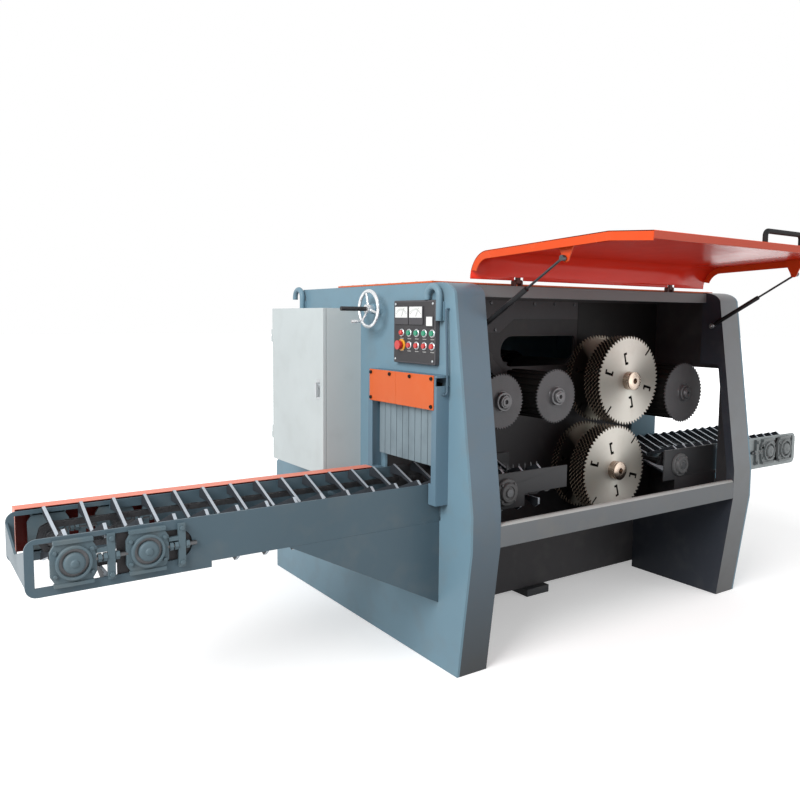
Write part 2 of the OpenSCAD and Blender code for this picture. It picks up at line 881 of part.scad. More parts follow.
module cabinet_shell() {
    color(pale_paint) in_frame() {
        difference() {
            block([-shell_d, cabinet_y, cabinet_z], [shell_d, cabinet_w, cabinet_h]);
            block([-shell_d - overrun, cabinet_y + cabinet_t, cabinet_z + cabinet_t],
                [shell_d + overrun - cabinet_t, cabinet_w - 2 * cabinet_t, cabinet_h - 2 * cabinet_t]);
        }
        for (z = door_hinge_zs) {
            block([door_hinge_x - door_knuckle_r, cabinet_y + cabinet_w, z],
                [door_knuckle_r + door_lug_back, door_hinge_side + door_knuckle_r, door_lug_h]);
            translate([door_hinge_x, door_hinge_y, z])
                cylinder(r = door_hinge_pin_r, h = door_hinge_h + 2 * face_gap);
        }
    }
}

module cabinet_door() {
    color(pale_paint) in_frame() difference() {
        union() {
            difference() {
                block([-cabinet_d, cabinet_y, cabinet_z], [door_t, cabinet_w - door_side_gap, cabinet_h]);
                block([-cabinet_d + door_sheet, cabinet_y + door_sheet, cabinet_z + door_sheet],
                    [door_t, cabinet_w - door_side_gap - 2 * door_sheet, cabinet_h - 2 * door_sheet]);
            }
            for (z = door_hinge_zs) translate([0, 0, z + door_lug_h + face_gap]) {
                translate([door_hinge_x, door_hinge_y, 0]) cylinder(r = door_knuckle_r, h = door_knuckle_h);
                block([-cabinet_d, cabinet_y + cabinet_w - door_side_gap - door_sheet, 0],
                    [door_t / 2, door_hinge_side + door_side_gap + door_sheet, door_knuckle_h]);
            }
        }
        for (z = door_hinge_zs)
            translate([door_hinge_x, door_hinge_y, z + door_lug_h - overrun])
                cylinder(r = door_hinge_pin_r + fit, h = door_knuckle_h + 2 * overrun);
        rod_x(-cabinet_d - overrun, cabinet_y + lock_y, cabinet_z + lock_rise, lock_pin_r + fit,
            door_t + 2 * overrun);
    }
}

module cabinet_lock() {
    y = cabinet_y + lock_y;
    z = cabinet_z + lock_rise;
    face_x = -cabinet_d - face_gap;
    color(dark_steel) in_frame() {
        rod_x(face_x - lock_h, y, z, lock_r, lock_h);
        rod_x(face_x - overrun, y, z, lock_pin_r, door_sheet + 2 * overrun);
        block([face_x - lock_h - lock_lever_h, y - lock_lever_w / 2, z - lock_lever_l + lock_r],
            [lock_lever_h, lock_lever_w, lock_lever_l]);
    }
}

// Control panel: box, meters, pilot lamp and button bezels with the bores of the buttons
function button_y(column) = first_button_y + (4 - column) * button_pitch;

module bezel(column, row, r) {
    rod_x(-panel_d - bezel_h, button_y(column), row_z[row], r, bezel_h);
}

module control_panel() {
    top = panel_z + panel_h;
    bore_l = button_l - button_out + button_travel + button_room;
    color(black_paint) in_frame() {
        difference() {
            union() {
                block([-panel_d, panel_y, panel_z], [panel_d, panel_w, panel_h]);
                for (column = [1:4])
                    for (row = [0, 1])
                        bezel(column, row, bezel_r);
                bezel(0, 0, stop_bezel_r);
            }
            for (column = [0:4])
                for (row = [0, 1])
                    if (column > 0 || row == 0)
                        rod_x(-panel_d - bezel_h - overrun, button_y(column), row_z[row],
                            button_r + fit, bore_l + overrun);
        }
        bezel(0, 1, bezel_r);
        rod_x(-panel_d - bezel_h - lamp_h, button_y(0), row_z[1], button_r, lamp_h);
        for (left = meter_left)
            block([-panel_d - meter_d, panel_y + left, top - meter_top_drop - meter_h],
                [meter_d, meter_w, meter_h]);
        block([-panel_d - meter_d, panel_y + meter_small_y, panel_z + meter_small_z],
            [meter_d, meter_small_w, meter_small_h]);
    }
}

module push_button(column, row, tint) {
    color(tint) in_frame()
        rod_x(-panel_d - bezel_h - button_out, button_y(column), row_z[row], button_r, button_l);
}

module emergency_stop() {
    out = button_out + stop_head_l;
    color([0.80, 0.16, 0.10]) in_frame() {
        rod_x(-panel_d - bezel_h - out, button_y(0), row_z[0], stop_head_r, stop_head_l);
        rod_x(-panel_d - bezel_h - button_out - overrun, button_y(0), row_z[0], button_r,
            button_l + overrun);
    }
}

// Handwheel with three spokes and a crank, running on the adjusting screw
wheel_x = -boss_l - face_gap - wheel_hub_l / 2;

module handwheel() {
    rim_r = wheel_d / 2 - wheel_rim_r;
    color(steel) in_frame() translate([wheel_x, wheel_y, wheel_z]) rotate([90, 0, 90]) difference() {
        union() {
            translate([0, 0, -wheel_hub_l / 2]) cylinder(r = wheel_hub_r, h = wheel_hub_l);
            rotate_extrude() translate([rim_r, 0]) circle(r = wheel_rim_r);
            for (i = [0:2]) rotate([0, 0, crank_turn + i * 120]) rotate([0, 90, 0])
                cylinder(r = wheel_spoke_r, h = rim_r);
            rotate([0, 0, crank_turn]) translate([rim_r, 0, -crank_l - wheel_rim_r])
                cylinder(r = crank_r, h = crank_l + wheel_rim_r);
        }
        translate([0, 0, -wheel_hub_l / 2 - overrun])
            cylinder(r = screw_r + fit, h = wheel_hub_l + 2 * overrun);
    }
}

module adjusting_screw() {
    outer_x = -boss_l - wheel_hub_l - screw_out;
    color(dark_steel) in_frame() rod_x(outer_x, wheel_y, wheel_z, screw_r, screw_in - outer_x);
}

// Hood in its open position: rounded sheet, side flanges, hem, hinge leaves and strut brackets
function hood_profile(inset) = concat(
    [for (i = [0:nose_steps])
        let (a = 90 * i / nose_steps)
        [hood_front_y + (hood_round_y - inset) * cos(a), hood_arc_z + (hood_round_z - inset) * sin(a)]],
    [[hood_front_y - hood_straight, hood_top_z + hood_slope_rise - inset],
     [hood_front_y - hood_straight - hood_lip, hood_top_z + hood_slope_rise - hood_lip_fall - inset]]);

function backwards(points) = [for (i = [len(points) - 1:-1:0]) points[i]];

module hood_band(inset) { polygon(concat(hood_profile(0), backwards(hood_profile(inset)))); }

hood_tip_y = hood_front_y - hood_straight - hood_lip;
hood_tip_z = hood_top_z + hood_slope_rise - hood_lip_fall;

module hood_flanges() {
    difference() {
        for (x = [hood_x, hood_x + hood_l - hood_flange_t])
            along_x(x, hood_flange_t) hood_band(hood_flange);
        block([0, hood_front_y, hood_arc_z - overrun],
            [body_l, hood_round_y + overrun, hood_flange_start - hood_end_rise + overrun]);
    }
}

// Height of the middle of the hood sheet on its straight part
function hood_mid_z(y) = hood_top_z + hood_slope_rise * (hood_front_y - y) / hood_straight - hood_t / 2;

module hood_bracket(x) {
    bracket_front = strut_head_y + strut_bracket_w / 2;
    bracket_back = strut_head_y - strut_bracket_w / 2;
    along_x(x, strut_bracket_t) {
        translate([strut_head_y, strut_head_z]) circle(r = strut_bracket_r);
        polygon([[strut_head_y - strut_bracket_r, strut_head_z],
            [strut_head_y + strut_bracket_r, strut_head_z],
            [bracket_front, hood_mid_z(bracket_front)], [bracket_back, hood_mid_z(bracket_back)]]);
    }
}

module hood_handle() {
    y = hood_tip_y + handle_back;
    bar_z = hood_tip_z + handle_h - handle_r;
    leg_xs = [(body_l - handle_l) / 2, (body_l + handle_l) / 2];
    rod_x(leg_xs[0], y, bar_z, handle_r, handle_l);
    for (x = leg_xs) {
        translate([x, y, hood_tip_z - hood_t / 2])
            cylinder(r = handle_r, h = bar_z - hood_tip_z + hood_t / 2);
        translate([x, y, bar_z]) sphere(r = handle_r);
    }
}

module hood() {
    bracket_x = strut_x + strut_eye_w / 2 + strut_stud_l + face_gap;
    color(orange_paint) in_frame() {
        difference() {
            union() {
                difference() {
                    along_x(hood_x, hood_l) hood_band(hood_t);
                    for (x = hinge_xs)
                        block([x - hinge_half - hinge_side_gap, hood_front_y, hood_arc_z - overrun],
                            [2 * (hinge_half + hinge_side_gap), hood_round_y + overrun,
                             hinge_z + hinge_notch - hood_arc_z + overrun]);
                }
                for (x = hinge_xs) {
                    rod_x(x - hinge_leaf_w / 2, hinge_y, hinge_z, hinge_r, hinge_leaf_w);
                    block([x - hinge_leaf_w / 2, hinge_y - hinge_leaf_t, hinge_z],
                        [hinge_leaf_w, hinge_leaf_t, hinge_leaf_l]);
                }
            }
            for (x = hinge_xs)
                rod_x(x - hinge_leaf_w / 2 - overrun, hinge_y, hinge_z, hinge_pin_r + fit,
                    hinge_leaf_w + 2 * overrun);
        }
        hood_flanges();
        block([hood_x, hood_tip_y, hood_tip_z - hood_hem], [hood_l, hood_t, hood_hem]);
        for (x = [bracket_x, body_l - bracket_x - strut_bracket_t])
            hood_bracket(x);
        hood_handle();
    }
}

// Gas struts between the columns and the hood
module on_strut() { translate([strut_x, strut_foot_y, strut_foot_z]) rotate([strut_turn, 0, 0]) children(); }

module strut_tube() {
    difference() {
        union() {
            rod_x(-strut_eye_w / 2, 0, 0, strut_eye_r, strut_eye_w);
            rod_y(0, 0, 0, strut_neck_r, strut_neck_l + strut_floor / 2);
            rod_y(0, strut_neck_l, 0, strut_tube_r, strut_tube_l - strut_neck_l);
        }
        rod_x(-strut_eye_w / 2 - overrun, 0, 0, strut_pin_r + fit, strut_eye_w + 2 * overrun);
        rod_y(0, strut_neck_l + strut_floor, 0, strut_rod_r + fit, strut_tube_l);
    }
}

module strut_piston() {
    rod_y(0, strut_tube_l - strut_rod_hold, 0, strut_rod_r, strut_l - strut_tube_l + strut_rod_hold);
    rod_x(-strut_eye_w / 2, strut_l, 0, strut_eye_r - overrun, strut_eye_w);
    rod_x(0, strut_l, 0, strut_rod_r, strut_eye_w / 2 + strut_stud_l);
}

module strut_cylinder_infeed() { color(black_paint) in_frame() at_end(false) on_strut() strut_tube(); }

module strut_cylinder_outfeed() { color(black_paint) in_frame() at_end(true) on_strut() strut_tube(); }

module strut_rod_infeed() { color(steel) in_frame() at_end(false) on_strut() strut_piston(); }

module strut_rod_outfeed() { color(steel) in_frame() at_end(true) on_strut() strut_piston(); }

// Depth of a blade: a near group, a wide gap, then the rest
function blade_y(i) = stack_y + i * blade_pitch + (i < near_blades ? 0 : group_gap - blade_pitch);

// Saw blades: toothed rim, two rim slots and four hooked inner slots
function tooth_points() = [for (i = [0:blade_teeth - 1])
    let (step = 360 / blade_teeth)
    for (p = [[blade_d / 2, i * step], [blade_d / 2 - tooth_h, (i + 1 - tooth_lean_share) * step]])
    [p[0] * cos(p[1]), p[0] * sin(p[1])]];

module blade() {
    r = blade_d / 2;
    difference() {
        linear_extrude(blade_t) polygon(tooth_points());
        translate([0, 0, -overrun]) cylinder(r = arbor_r + fit, h = blade_t + 2 * overrun);
        for (turn = rim_slot_turns) rotate([0, 0, turn])
            block([r - rim_slot_l, -slot_w / 2, -overrun],
                [rim_slot_l + overrun, slot_w, blade_t + 2 * overrun]);
        for (slot = inner_slots) rotate([0, 0, slot[0]]) {
            low = slot[1] * r;
            high = slot[2] * r;
            block([low, -slot_w / 2, -overrun], [high - low, slot_w, blade_t + 2 * overrun]);
            for (end = [low, high - slot_w])
                block([end, -inner_slot_hook, -overrun], [slot_w, inner_slot_hook, blade_t + 2 * overrun]);
        }
    }
}

module blade_stack(x, z) {
    color(steel) in_frame() for (i = [0:blade_count - 1])
        translate([x, blade_y(i) + blade_t, z]) rotate([90, 0, 0]) blade();
}

module upper_blades() { blade_stack(upper_arbor_x, upper_arbor_z); }

module lower_blades() { blade_stack(lower_arbor_x, lower_arbor_z); }

// Overhung arbor: clamping nut, blade seat with collars, rear flange, shaft and pulley
module arbor(x, z) {
    stack_end = blade_y(blade_count - 1) + blade_t;
    color(dark_steel) in_frame() difference() {
        union() {
            rod_y(x, stack_y - nut_l, z, max(nut_r, arbor_r + overrun), nut_l);
            rod_y(x, stack_y - overrun, z, arbor_r, pulley_y + belt_w - stack_y + overrun);
            for (i = [0:blade_count - 2])
                rod_y(x, blade_y(i) + blade_t, z, collar_r, blade_y(i + 1) - blade_y(i) - blade_t);
            rod_y(x, stack_end, z, flange_r, flange_t);
            rod_y(x, pulley_y, z, arbor_pulley_r, belt_w);
        }
        rod_y(x, stack_y - nut_l - overrun, z, nut_hole_r, nut_hole_l + overrun);
    }
}

module upper_arbor() { arbor(upper_arbor_x, upper_arbor_z); }

module lower_arbor() { arbor(lower_arbor_x, lower_arbor_z); }

module arbor_housings() {
    color(dark_paint) in_frame()
        for (p = [[upper_arbor_x, upper_arbor_z], [lower_arbor_x, lower_arbor_z]]) difference() {
            union() {
                rod_y(p[0], wall_back_y, p[1], housing_r, housing_l);
                rod_y(p[0], wall_back_y, p[1], housing_flange_r, housing_flange_t);
            }
            rod_y(p[0], wall_back_y - overrun, p[1], arbor_r + fit, housing_l + 2 * overrun);
        }
}

// Main motors on their bed and shelf, and the gear motors of the conveyors
module main_motor(z) {
    rod_y(motor_x, motor_y, z, motor_r, motor_l - motor_fan_l);
    rod_y(motor_x, motor_y + motor_l - motor_fan_l, z, motor_fan_r_share * motor_r, motor_fan_l);
    rod_y(motor_x, motor_y + motor_l, z, motor_shaft_r, pulley_y + belt_w - motor_y - motor_l);
    block([motor_x - motor_foot_w / 2, motor_y + motor_foot_inset, z - motor_axis_h],
        [motor_foot_w, motor_l - 2 * motor_foot_inset, motor_foot_t]);
    block([motor_x - motor_foot_w / 4, motor_y + motor_foot_inset, z - motor_axis_h],
        [motor_foot_w / 2, motor_l - 2 * motor_foot_inset, motor_axis_h]);
    block([motor_x - motor_box_w / 2, motor_y + motor_foot_inset, z],
        [motor_box_w, motor_box_w, motor_r + motor_box_h]);
}

module gear_motor(x) {
    difference() {
        union() {
            block([x - gearbox_w / 2, wall_back_y, shaft_z - gearbox_w / 2],
                [gearbox_w, gearbox_d, gearbox_w]);
            translate([x, wall_back_y + gearbox_d / 2 + face_gap, shaft_z - gearbox_w / 2 - gear_motor_l])
                cylinder(r = min(gear_motor_r, gearbox_d / 2), h = gear_motor_l);
        }
        rod_y(x, wall_back_y - overrun, shaft_z, shaft_r + fit, gearbox_d + 2 * overrun);
    }
}

module drive_motors() {
    color(dark_paint) in_frame() {
        main_motor(upper_motor_z);
        main_motor(lower_motor_z);
        gear_motor(infeed_drive_x);
        gear_motor(outfeed_drive_x);
    }
}

module motor_pulley(z) {
    color(dark_steel) in_frame() difference() {
        rod_y(motor_x, pulley_y, z, motor_pulley_r, belt_w);
        rod_y(motor_x, pulley_y - overrun, z, motor_shaft_r + fit, belt_w + 2 * overrun);
    }
}

module upper_motor_pulley() { motor_pulley(upper_motor_z); }

module lower_motor_pulley() { motor_pulley(lower_motor_z); }

// Outline round two pulleys, as tangents joined by arcs
function belt_points(a, ra, b, rb) =
    let (way = atan2(b[1] - a[1], b[0] - a[0]),
         lean = acos((ra - rb) / norm(b - a)),
         half_step = (360 - 2 * lean) / belt_steps / 2)
    concat(
        [for (i = [0:belt_steps])
            let (t = way + lean + i * (360 - 2 * lean) / belt_steps)
            a + ra / cos(half_step) * [cos(t), sin(t)]],
        [for (i = [0:belt_steps])
            let (t = way - lean + i * 2 * lean / belt_steps)
            b + rb / cos(half_step) * [cos(t), sin(t)]]);

module belt_set(a, b) {
    outside = belt_clear + belt_t;
    along_y(pulley_y + belt_inset, belt_w - 2 * belt_inset) difference() {
        polygon(belt_points(a, motor_pulley_r + outside, b, arbor_pulley_r + outside));
        polygon(belt_points(a, motor_pulley_r + belt_clear, b, arbor_pulley_r + belt_clear));
    }
}

module drive_belts() {
    color(rubber_black) in_frame() {
        belt_set([motor_x, upper_motor_z], [upper_arbor_x, upper_arbor_z]);
        belt_set([motor_x, lower_motor_z], [lower_arbor_x, lower_arbor_z]);
    }
}

// Press rollers: toothed end disc, ribbed drum, hub, nut and shaft
function ring_points(n, shares, high, low) = [for (i = [0:n - 1])
    for (k = [0:len(shares) - 1])
    let (a = 360 * (i + shares[k]) / n, r = k < len(shares) / 2 ? high : low)
    [r * cos(a), r * sin(a)]];

rib_shares = [0, 0.45, 0.5, 0.95];
disc_tooth_shares = [0, 0.5];

module press_roller(i) {
    r = roller_d[i] / 2;
    drum_y = roller_y + disc_t;
    color(dark_steel) in_frame() translate([roller_x[i], 0, roller_z[i]]) {
        along_y(roller_y, disc_t)
            polygon(ring_points(disc_teeth, disc_tooth_shares, r, r - disc_tooth_h));
        along_y(drum_y, drum_l)
            polygon(ring_points(drum_ribs, rib_shares, r - drum_drop, r - drum_drop - rib_h));
        rod_y(0, roller_y - roller_hub_l, 0, roller_hub_r, roller_hub_l);
        rod_y(0, roller_y - roller_hub_l - roller_nut_l, 0, roller_nut_r, roller_nut_l);
        rod_y(0, drum_y + drum_l, 0, roller_shaft_r, arm_y + arm_t + overrun - drum_y - drum_l);
    }
}

module press_roller_1() { press_roller(0); }

module press_roller_2() { press_roller(1); }

module press_roller_3() { press_roller(2); }

module press_arm(i) {
    arm_l = norm([arm_dx, arm_dz]);
    arm_lean = atan2(arm_dz, arm_dx);
    color(dark_paint) in_frame() translate([roller_x[i] - arm_dx, arm_y, roller_z[i] + arm_dz])
        rotate([0, arm_lean, 0]) difference() {
            union() {
                for (x = [0, arm_l])
                    rod_y(x, 0, 0, arm_boss_r, arm_t);
                block([0, 0, -arm_w / 2], [arm_l, arm_t, arm_w]);
            }
            rod_y(0, -overrun, 0, arm_pin_r + fit, arm_t + 2 * overrun);
            rod_y(arm_l, -overrun, 0, roller_shaft_r + fit, arm_t + 2 * overrun);
        }
}

module press_arm_1() { press_arm(0); }

module press_arm_2() { press_arm(1); }

module press_arm_3() { press_arm(2); }

// Feed positions of the conveyor shafts and ends
outfeed_end_x = body_l + outfeed_reach;
infeed_tail_x = -infeed_reach + infeed_tail_inset;
infeed_idler_x = -infeed_reach + infeed_idler_inset;
outfeed_idler_x = outfeed_end_x - outfeed_idler_inset;
outfeed_tail_x = outfeed_end_x - outfeed_tail_inset;
rail_ys = [lane_front_y, lane_back_y - rail_t];

// Rails seen from the side, with a long take-up window in the deep tail section
function corner(x, z, start) = [for (i = [0:corner_steps])
    let (a = start + 90 * i / corner_steps)
    [x + rail_corner_r * cos(a), z + rail_corner_r * sin(a)]];

// Long window, deep at the tail and narrow with a round end towards the machine
module rail_window() {
    translate([0, -window_h / 2]) square([window_long, window_h]);
    translate([0, -window_narrow_h / 2]) square([window_long + window_narrow_l, window_narrow_h]);
    translate([window_long + window_narrow_l, 0]) circle(d = window_narrow_h);
}

module infeed_rail_outline() {
    difference() {
        polygon(concat(
            corner(-infeed_reach + rail_corner_r, rail_top_z - rail_corner_r, 90),
            corner(-infeed_reach + rail_corner_r, rail_end_low_z + rail_corner_r, 180),
            [[-infeed_reach + rail_end_l, rail_end_low_z], [-infeed_reach + rail_end_l, rail_low_z],
             [rail_tongue_x, rail_low_z], [rail_tongue_x, rail_tongue_z],
             [infeed_inner_x, rail_tongue_z], [infeed_inner_x, rail_top_z]]));
        translate([-infeed_reach + window_inset, shaft_z]) rail_window();
        translate([infeed_drive_x, shaft_z]) circle(r = shaft_hole_r);
    }
}

module outfeed_rail_outline() {
    difference() {
        polygon(concat(
            corner(outfeed_end_x - rail_corner_r, rail_end_low_z + rail_corner_r, 270),
            corner(outfeed_end_x - rail_corner_r, rail_top_z - rail_corner_r, 0),
            [[outfeed_inner_x, rail_top_z], [outfeed_inner_x, rail_low_z],
             [outfeed_end_x - rail_end_l, rail_low_z], [outfeed_end_x - rail_end_l, rail_end_low_z]]));
        translate([outfeed_end_x - window_inset - window_long, shaft_z - window_h / 2])
            square([window_long, window_h]);
        translate([outfeed_drive_x, shaft_z]) circle(r = shaft_hole_r);
    }
}

module rail_pair() {
    for (y = rail_ys)
        along_y(y, rail_t) children();
}

module end_plate(x) {
    inner_w = lane_w - 2 * rail_t;
    along_x(x, rail_t) translate([lane_front_y + rail_t, 0]) polygon([
        [0, rail_end_low_z + rail_corner_r], [inner_w, rail_end_low_z + rail_corner_r],
        [inner_w, rail_top_z - rail_corner_r], [inner_w / 2, rail_top_z - rail_corner_r - end_plate_dip],
        [0, rail_top_z - rail_corner_r]]);
}

module rail_ties(tail_x, head_x, shares) {
    for (share = shares)
        rod_y(tail_x + share * (head_x - tail_x), lane_front_y + rail_t, shaft_z, tie_r,
            lane_w - 2 * rail_t);
}

module rail_pads(x) {
    for (y = [opening_y, lane_back_y])
        block([x, y, rail_low_z + pad_rise], [plate_t, opening_gap, pad_h]);
}

module conveyor_rails() {
    color(blue_paint) in_frame() {
        rail_pair() infeed_rail_outline();
        rail_pair() outfeed_rail_outline();
        end_plate(-infeed_reach);
        end_plate(outfeed_end_x - rail_t);
        rail_ties(infeed_tail_x, infeed_head_x, infeed_tie_shares);
        rail_ties(outfeed_drive_x, outfeed_tail_x, outfeed_tie_shares);
        rail_pads(0);
        rail_pads(body_l - plate_t);
        for (x = [infeed_inner_x - wall_pad_back, outfeed_inner_x])
            block([x, lane_back_y, shaft_z + wall_pad_rise], [wall_pad_w, wall_gap, wall_pad_w]);
    }
}

// Endless chains, drawn as two bands of link plates for each strand
function loop_points(x0, x1, r) = concat(
    [for (i = [0:chain_steps])
        let (a = 90 + 180 * i / chain_steps)
        [x0 + r * cos(a), shaft_z + r * sin(a)]],
    [for (i = [0:chain_steps])
        let (a = 270 + 180 * i / chain_steps)
        [x1 + r * cos(a), shaft_z + r * sin(a)]]);

module chain_loop(x0, x1) {
    for (strand = [-chain_side, chain_side])
        for (y = [-chain_gap / 2 - chain_plate_t, chain_gap / 2])
            along_y(lane_y + strand + y, chain_plate_t) difference() {
                polygon(loop_points(x0, x1, sprocket_r + chain_h / 2));
                polygon(loop_points(x0, x1, sprocket_r - chain_h / 2));
            }
}

module conveyor_chains() {
    color(dark_steel) in_frame() {
        chain_loop(infeed_tail_x, infeed_head_x);
        chain_loop(outfeed_drive_x, outfeed_tail_x);
    }
}

// V slats: a left and a right wing on the chains, spaced round the whole loop
slat_half = lane_w / 2 - rail_t - slat_gap;
slat_seat_h = sprocket_r + chain_h / 2;

module slat_wing() {
    translate([-slat_t / 2, 0, 0]) rotate([90, 0, 90]) linear_extrude(slat_t) polygon([
        [slat_split, slat_mid_low_h], [chain_side - slat_seat, slat_seat_h], [slat_half, slat_seat_h],
        [slat_half, slat_end_h], [slat_half - slat_tip_in, slat_tip_h], [slat_split, slat_mid_h]]);
}

// Place and turn of a slat at a distance along the loop, starting on the top run at x0
function loop_place(s, x0, run, bend) =
    s < run ? [x0 + s, 0] :
    s < run + bend ? [x0 + run, 180 * (s - run) / bend] :
    s < 2 * run + bend ? [x0 + run - (s - run - bend), 180] :
    [x0, 180 + 180 * (s - 2 * run - bend) / bend];

module slat_loop(x0, x1, pitch) {
    run = x1 - x0;
    bend = sprocket_r * PI;
    count = floor((2 * run + 2 * bend) / pitch);
    for (i = [0:count - 1]) {
        place = loop_place((i + slat_phase_share) * (2 * run + 2 * bend) / count, x0, run, bend);
        translate([place[0], lane_y, shaft_z]) rotate([0, place[1], 0]) {
            slat_wing();
            mirror([0, 1, 0]) slat_wing();
        }
    }
}

module conveyor_slats() {
    color(steel) in_frame() {
        slat_loop(infeed_tail_x, infeed_head_x, infeed_slat_pitch);
        slat_loop(outfeed_drive_x, outfeed_tail_x, outfeed_slat_pitch);
    }
}

// Bearings: square take-up units on the tail windows, round flange bearings elsewhere.
// A unit's screw and strap lie on the side given, and side 0 leaves them off.
module takeup_screw(x, side) {
    reach = takeup_w / 2 + takeup_screw_l;
    rod_x(side > 0 ? x : x - reach, bearing_t / 2, shaft_z, min(takeup_screw_r, bearing_t / 2), reach);
    block([side > 0 ? x + reach : x - reach - takeup_strap_w, bearing_t - takeup_strap_t,
        shaft_z - takeup_h / 2], [takeup_strap_w, takeup_strap_t, takeup_h]);
}

module takeup_unit(x, side) {
    difference() {
        union() {
            block([x - takeup_w / 2, 0, shaft_z - takeup_h / 2], [takeup_w, bearing_t, takeup_h]);
            rod_y(x, -bearing_boss_l, shaft_z, bearing_r, bearing_boss_l);
            if (side != 0)
                takeup_screw(x, side);
        }
        rod_y(x, -bearing_boss_l - overrun, shaft_z, shaft_r + fit,
            bearing_t + bearing_boss_l + 2 * overrun);
    }
}

module flange_bearing(x) {
    difference() {
        union() {
            rod_y(x, lane_front_y - bearing_t, shaft_z, bearing_r, bearing_t);
            rod_y(x, lane_front_y - bearing_t - bearing_boss_l, shaft_z, bearing_boss_r, bearing_boss_l);
            rod_y(x, lane_back_y, shaft_z, bearing_r, far_bearing_t);
        }
        rod_y(x, lane_front_y - bearing_t - bearing_boss_l - overrun, shaft_z, shaft_r + fit,
            lane_w + bearing_t + bearing_boss_l + far_bearing_t + 2 * overrun);
    }
}

// Bush of the head shaft on the inner face of a rail
module head_bush(y) {
    difference() {
        rod_y(infeed_head_x, y, shaft_z, head_bush_r, head_bush_l);
        rod_y(infeed_head_x, y - overrun, shaft_z, shaft_r + fit, head_bush_l + 2 * overrun);
    }
}

module near_and_far() {
    translate([0, lane_front_y - bearing_t, 0]) children();
    translate([0, lane_back_y + bearing_t, 0]) mirror([0, 1, 0]) children();
}

module conveyor_bearings() {
    color(blue_paint) in_frame() {
        near_and_far() {
            takeup_unit(infeed_tail_x, 1);
            takeup_unit(infeed_idler_x, 1);
            takeup_unit(outfeed_idler_x, -1);
            takeup_unit(outfeed_tail_x, 0);
        }
        for (x = [infeed_drive_x, outfeed_drive_x])
            flange_bearing(x);
        for (y = [lane_front_y + rail_t, lane_back_y - rail_t - head_bush_l])
            head_bush(y);
    }
}

// Orange sheet cover along the far infeed rail
module chain_cover() {
    cover_x = -infeed_reach + cover_tail_gap;
    cover_l = -cover_x - guard_d - cover_end_gap;
    top = rail_top_z + cover_rise;
    color(orange_paint) in_frame() difference() {
        block([cover_x, lane_back_y, cover_low_z], [cover_l, cover_w, top - cover_low_z]);
        block([cover_x + cover_sheet, lane_back_y - overrun, cover_low_z - overrun],
            [cover_l - 2 * cover_sheet, cover_w - cover_sheet + overrun,
             top - cover_low_z - cover_sheet + overrun]);
    }
}

// Conveyor shafts with their two sprockets
module sprocket(x, y) {
    difference() {
        rod_y(x, y - sprocket_t / 2, shaft_z, sprocket_r + sprocket_tip, sprocket_t);
        for (i = [0:sprocket_teeth - 1])
            let (a = 360 * i / sprocket_teeth)
                rod_y(x + sprocket_r * cos(a), y - sprocket_t / 2 - overrun, shaft_z + sprocket_r * sin(a),
                    link_roller_r, sprocket_t + 2 * overrun);
    }
    rod_y(x, y - hub_w / 2, shaft_z, hub_r, hub_w);
}

module conveyor_shaft(x, near_y, far_y) {
    color(dark_steel) in_frame() {
        rod_y(x, near_y, shaft_z, shaft_r, far_y - near_y);
        for (strand = [-chain_side, chain_side])
            sprocket(x, lane_y + strand);
    }
}

near_shaft_y = lane_front_y - bearing_t - bearing_boss_l - shaft_end;
takeup_far_y = lane_back_y + bearing_t + bearing_boss_l + shaft_end;
head_near_y = lane_front_y + rail_t + head_end_gap;
head_far_y = lane_back_y - rail_t - head_end_gap;
drive_far_y = wall_back_y + gearbox_d;

module infeed_tail_shaft() { conveyor_shaft(infeed_tail_x, near_shaft_y, takeup_far_y); }

module infeed_idler_shaft() { conveyor_shaft(infeed_idler_x, near_shaft_y, takeup_far_y); }

module infeed_drive_shaft() { conveyor_shaft(infeed_drive_x, near_shaft_y, drive_far_y); }

module infeed_head_shaft() { conveyor_shaft(infeed_head_x, head_near_y, head_far_y); }

module outfeed_drive_shaft() { conveyor_shaft(outfeed_drive_x, near_shaft_y, drive_far_y); }

module outfeed_idler_shaft() { conveyor_shaft(outfeed_idler_x, near_shaft_y, takeup_far_y); }

module outfeed_tail_shaft() { conveyor_shaft(outfeed_tail_x, near_shaft_y, takeup_far_y); }

// Push buttons
green_tint = [0.10, 0.55, 0.40];
red_tint = [0.75, 0.15, 0.15];

module green_button_1() { push_button(1, 1, green_tint); }

module green_button_2() { push_button(2, 1, green_tint); }

module green_button_3() { push_button(3, 1, green_tint); }

module green_button_4() { push_button(4, 1, green_tint); }

module red_button_1() { push_button(1, 0, red_tint); }

module red_button_2() { push_button(2, 0, red_tint); }

module red_button_3() { push_button(3, 0, red_tint); }

module red_button_4() { push_button(4, 0, red_tint); }

infeed_side_plate();
outfeed_side_plate();
front_columns();
front_sill();
top_front_beam();
chamber_wall();
top_cover();
base_frame();
rear_panels();
lifting_hooks();
infeed_guard_box();
infeed_guard_plate();
cabinet_shell();
control_panel();
conveyor_rails();
conveyor_chains();
conveyor_slats();
conveyor_bearings();
chain_cover();
arbor_housings();
drive_motors();
drive_belts();
hood();
strut_cylinder_infeed();
strut_cylinder_outfeed();
strut_rod_infeed();
strut_rod_outfeed();
upper_arbor();
upper_blades();
lower_arbor();
lower_blades();
press_roller_1();
press_roller_2();
press_roller_3();
press_arm_1();
press_arm_2();
press_arm_3();
cabinet_door();
cabinet_lock();
handwheel();
adjusting_screw();
infeed_tail_shaft();
infeed_idler_shaft();
infeed_drive_shaft();
infeed_head_shaft();
outfeed_drive_shaft();
outfeed_idler_shaft();
outfeed_tail_shaft();
upper_motor_pulley();
lower_motor_pulley();
kickback_fingers();
green_button_1();
green_button_2();
green_button_3();
green_button_4();
red_button_1();
red_button_2();
red_button_3();
red_button_4();
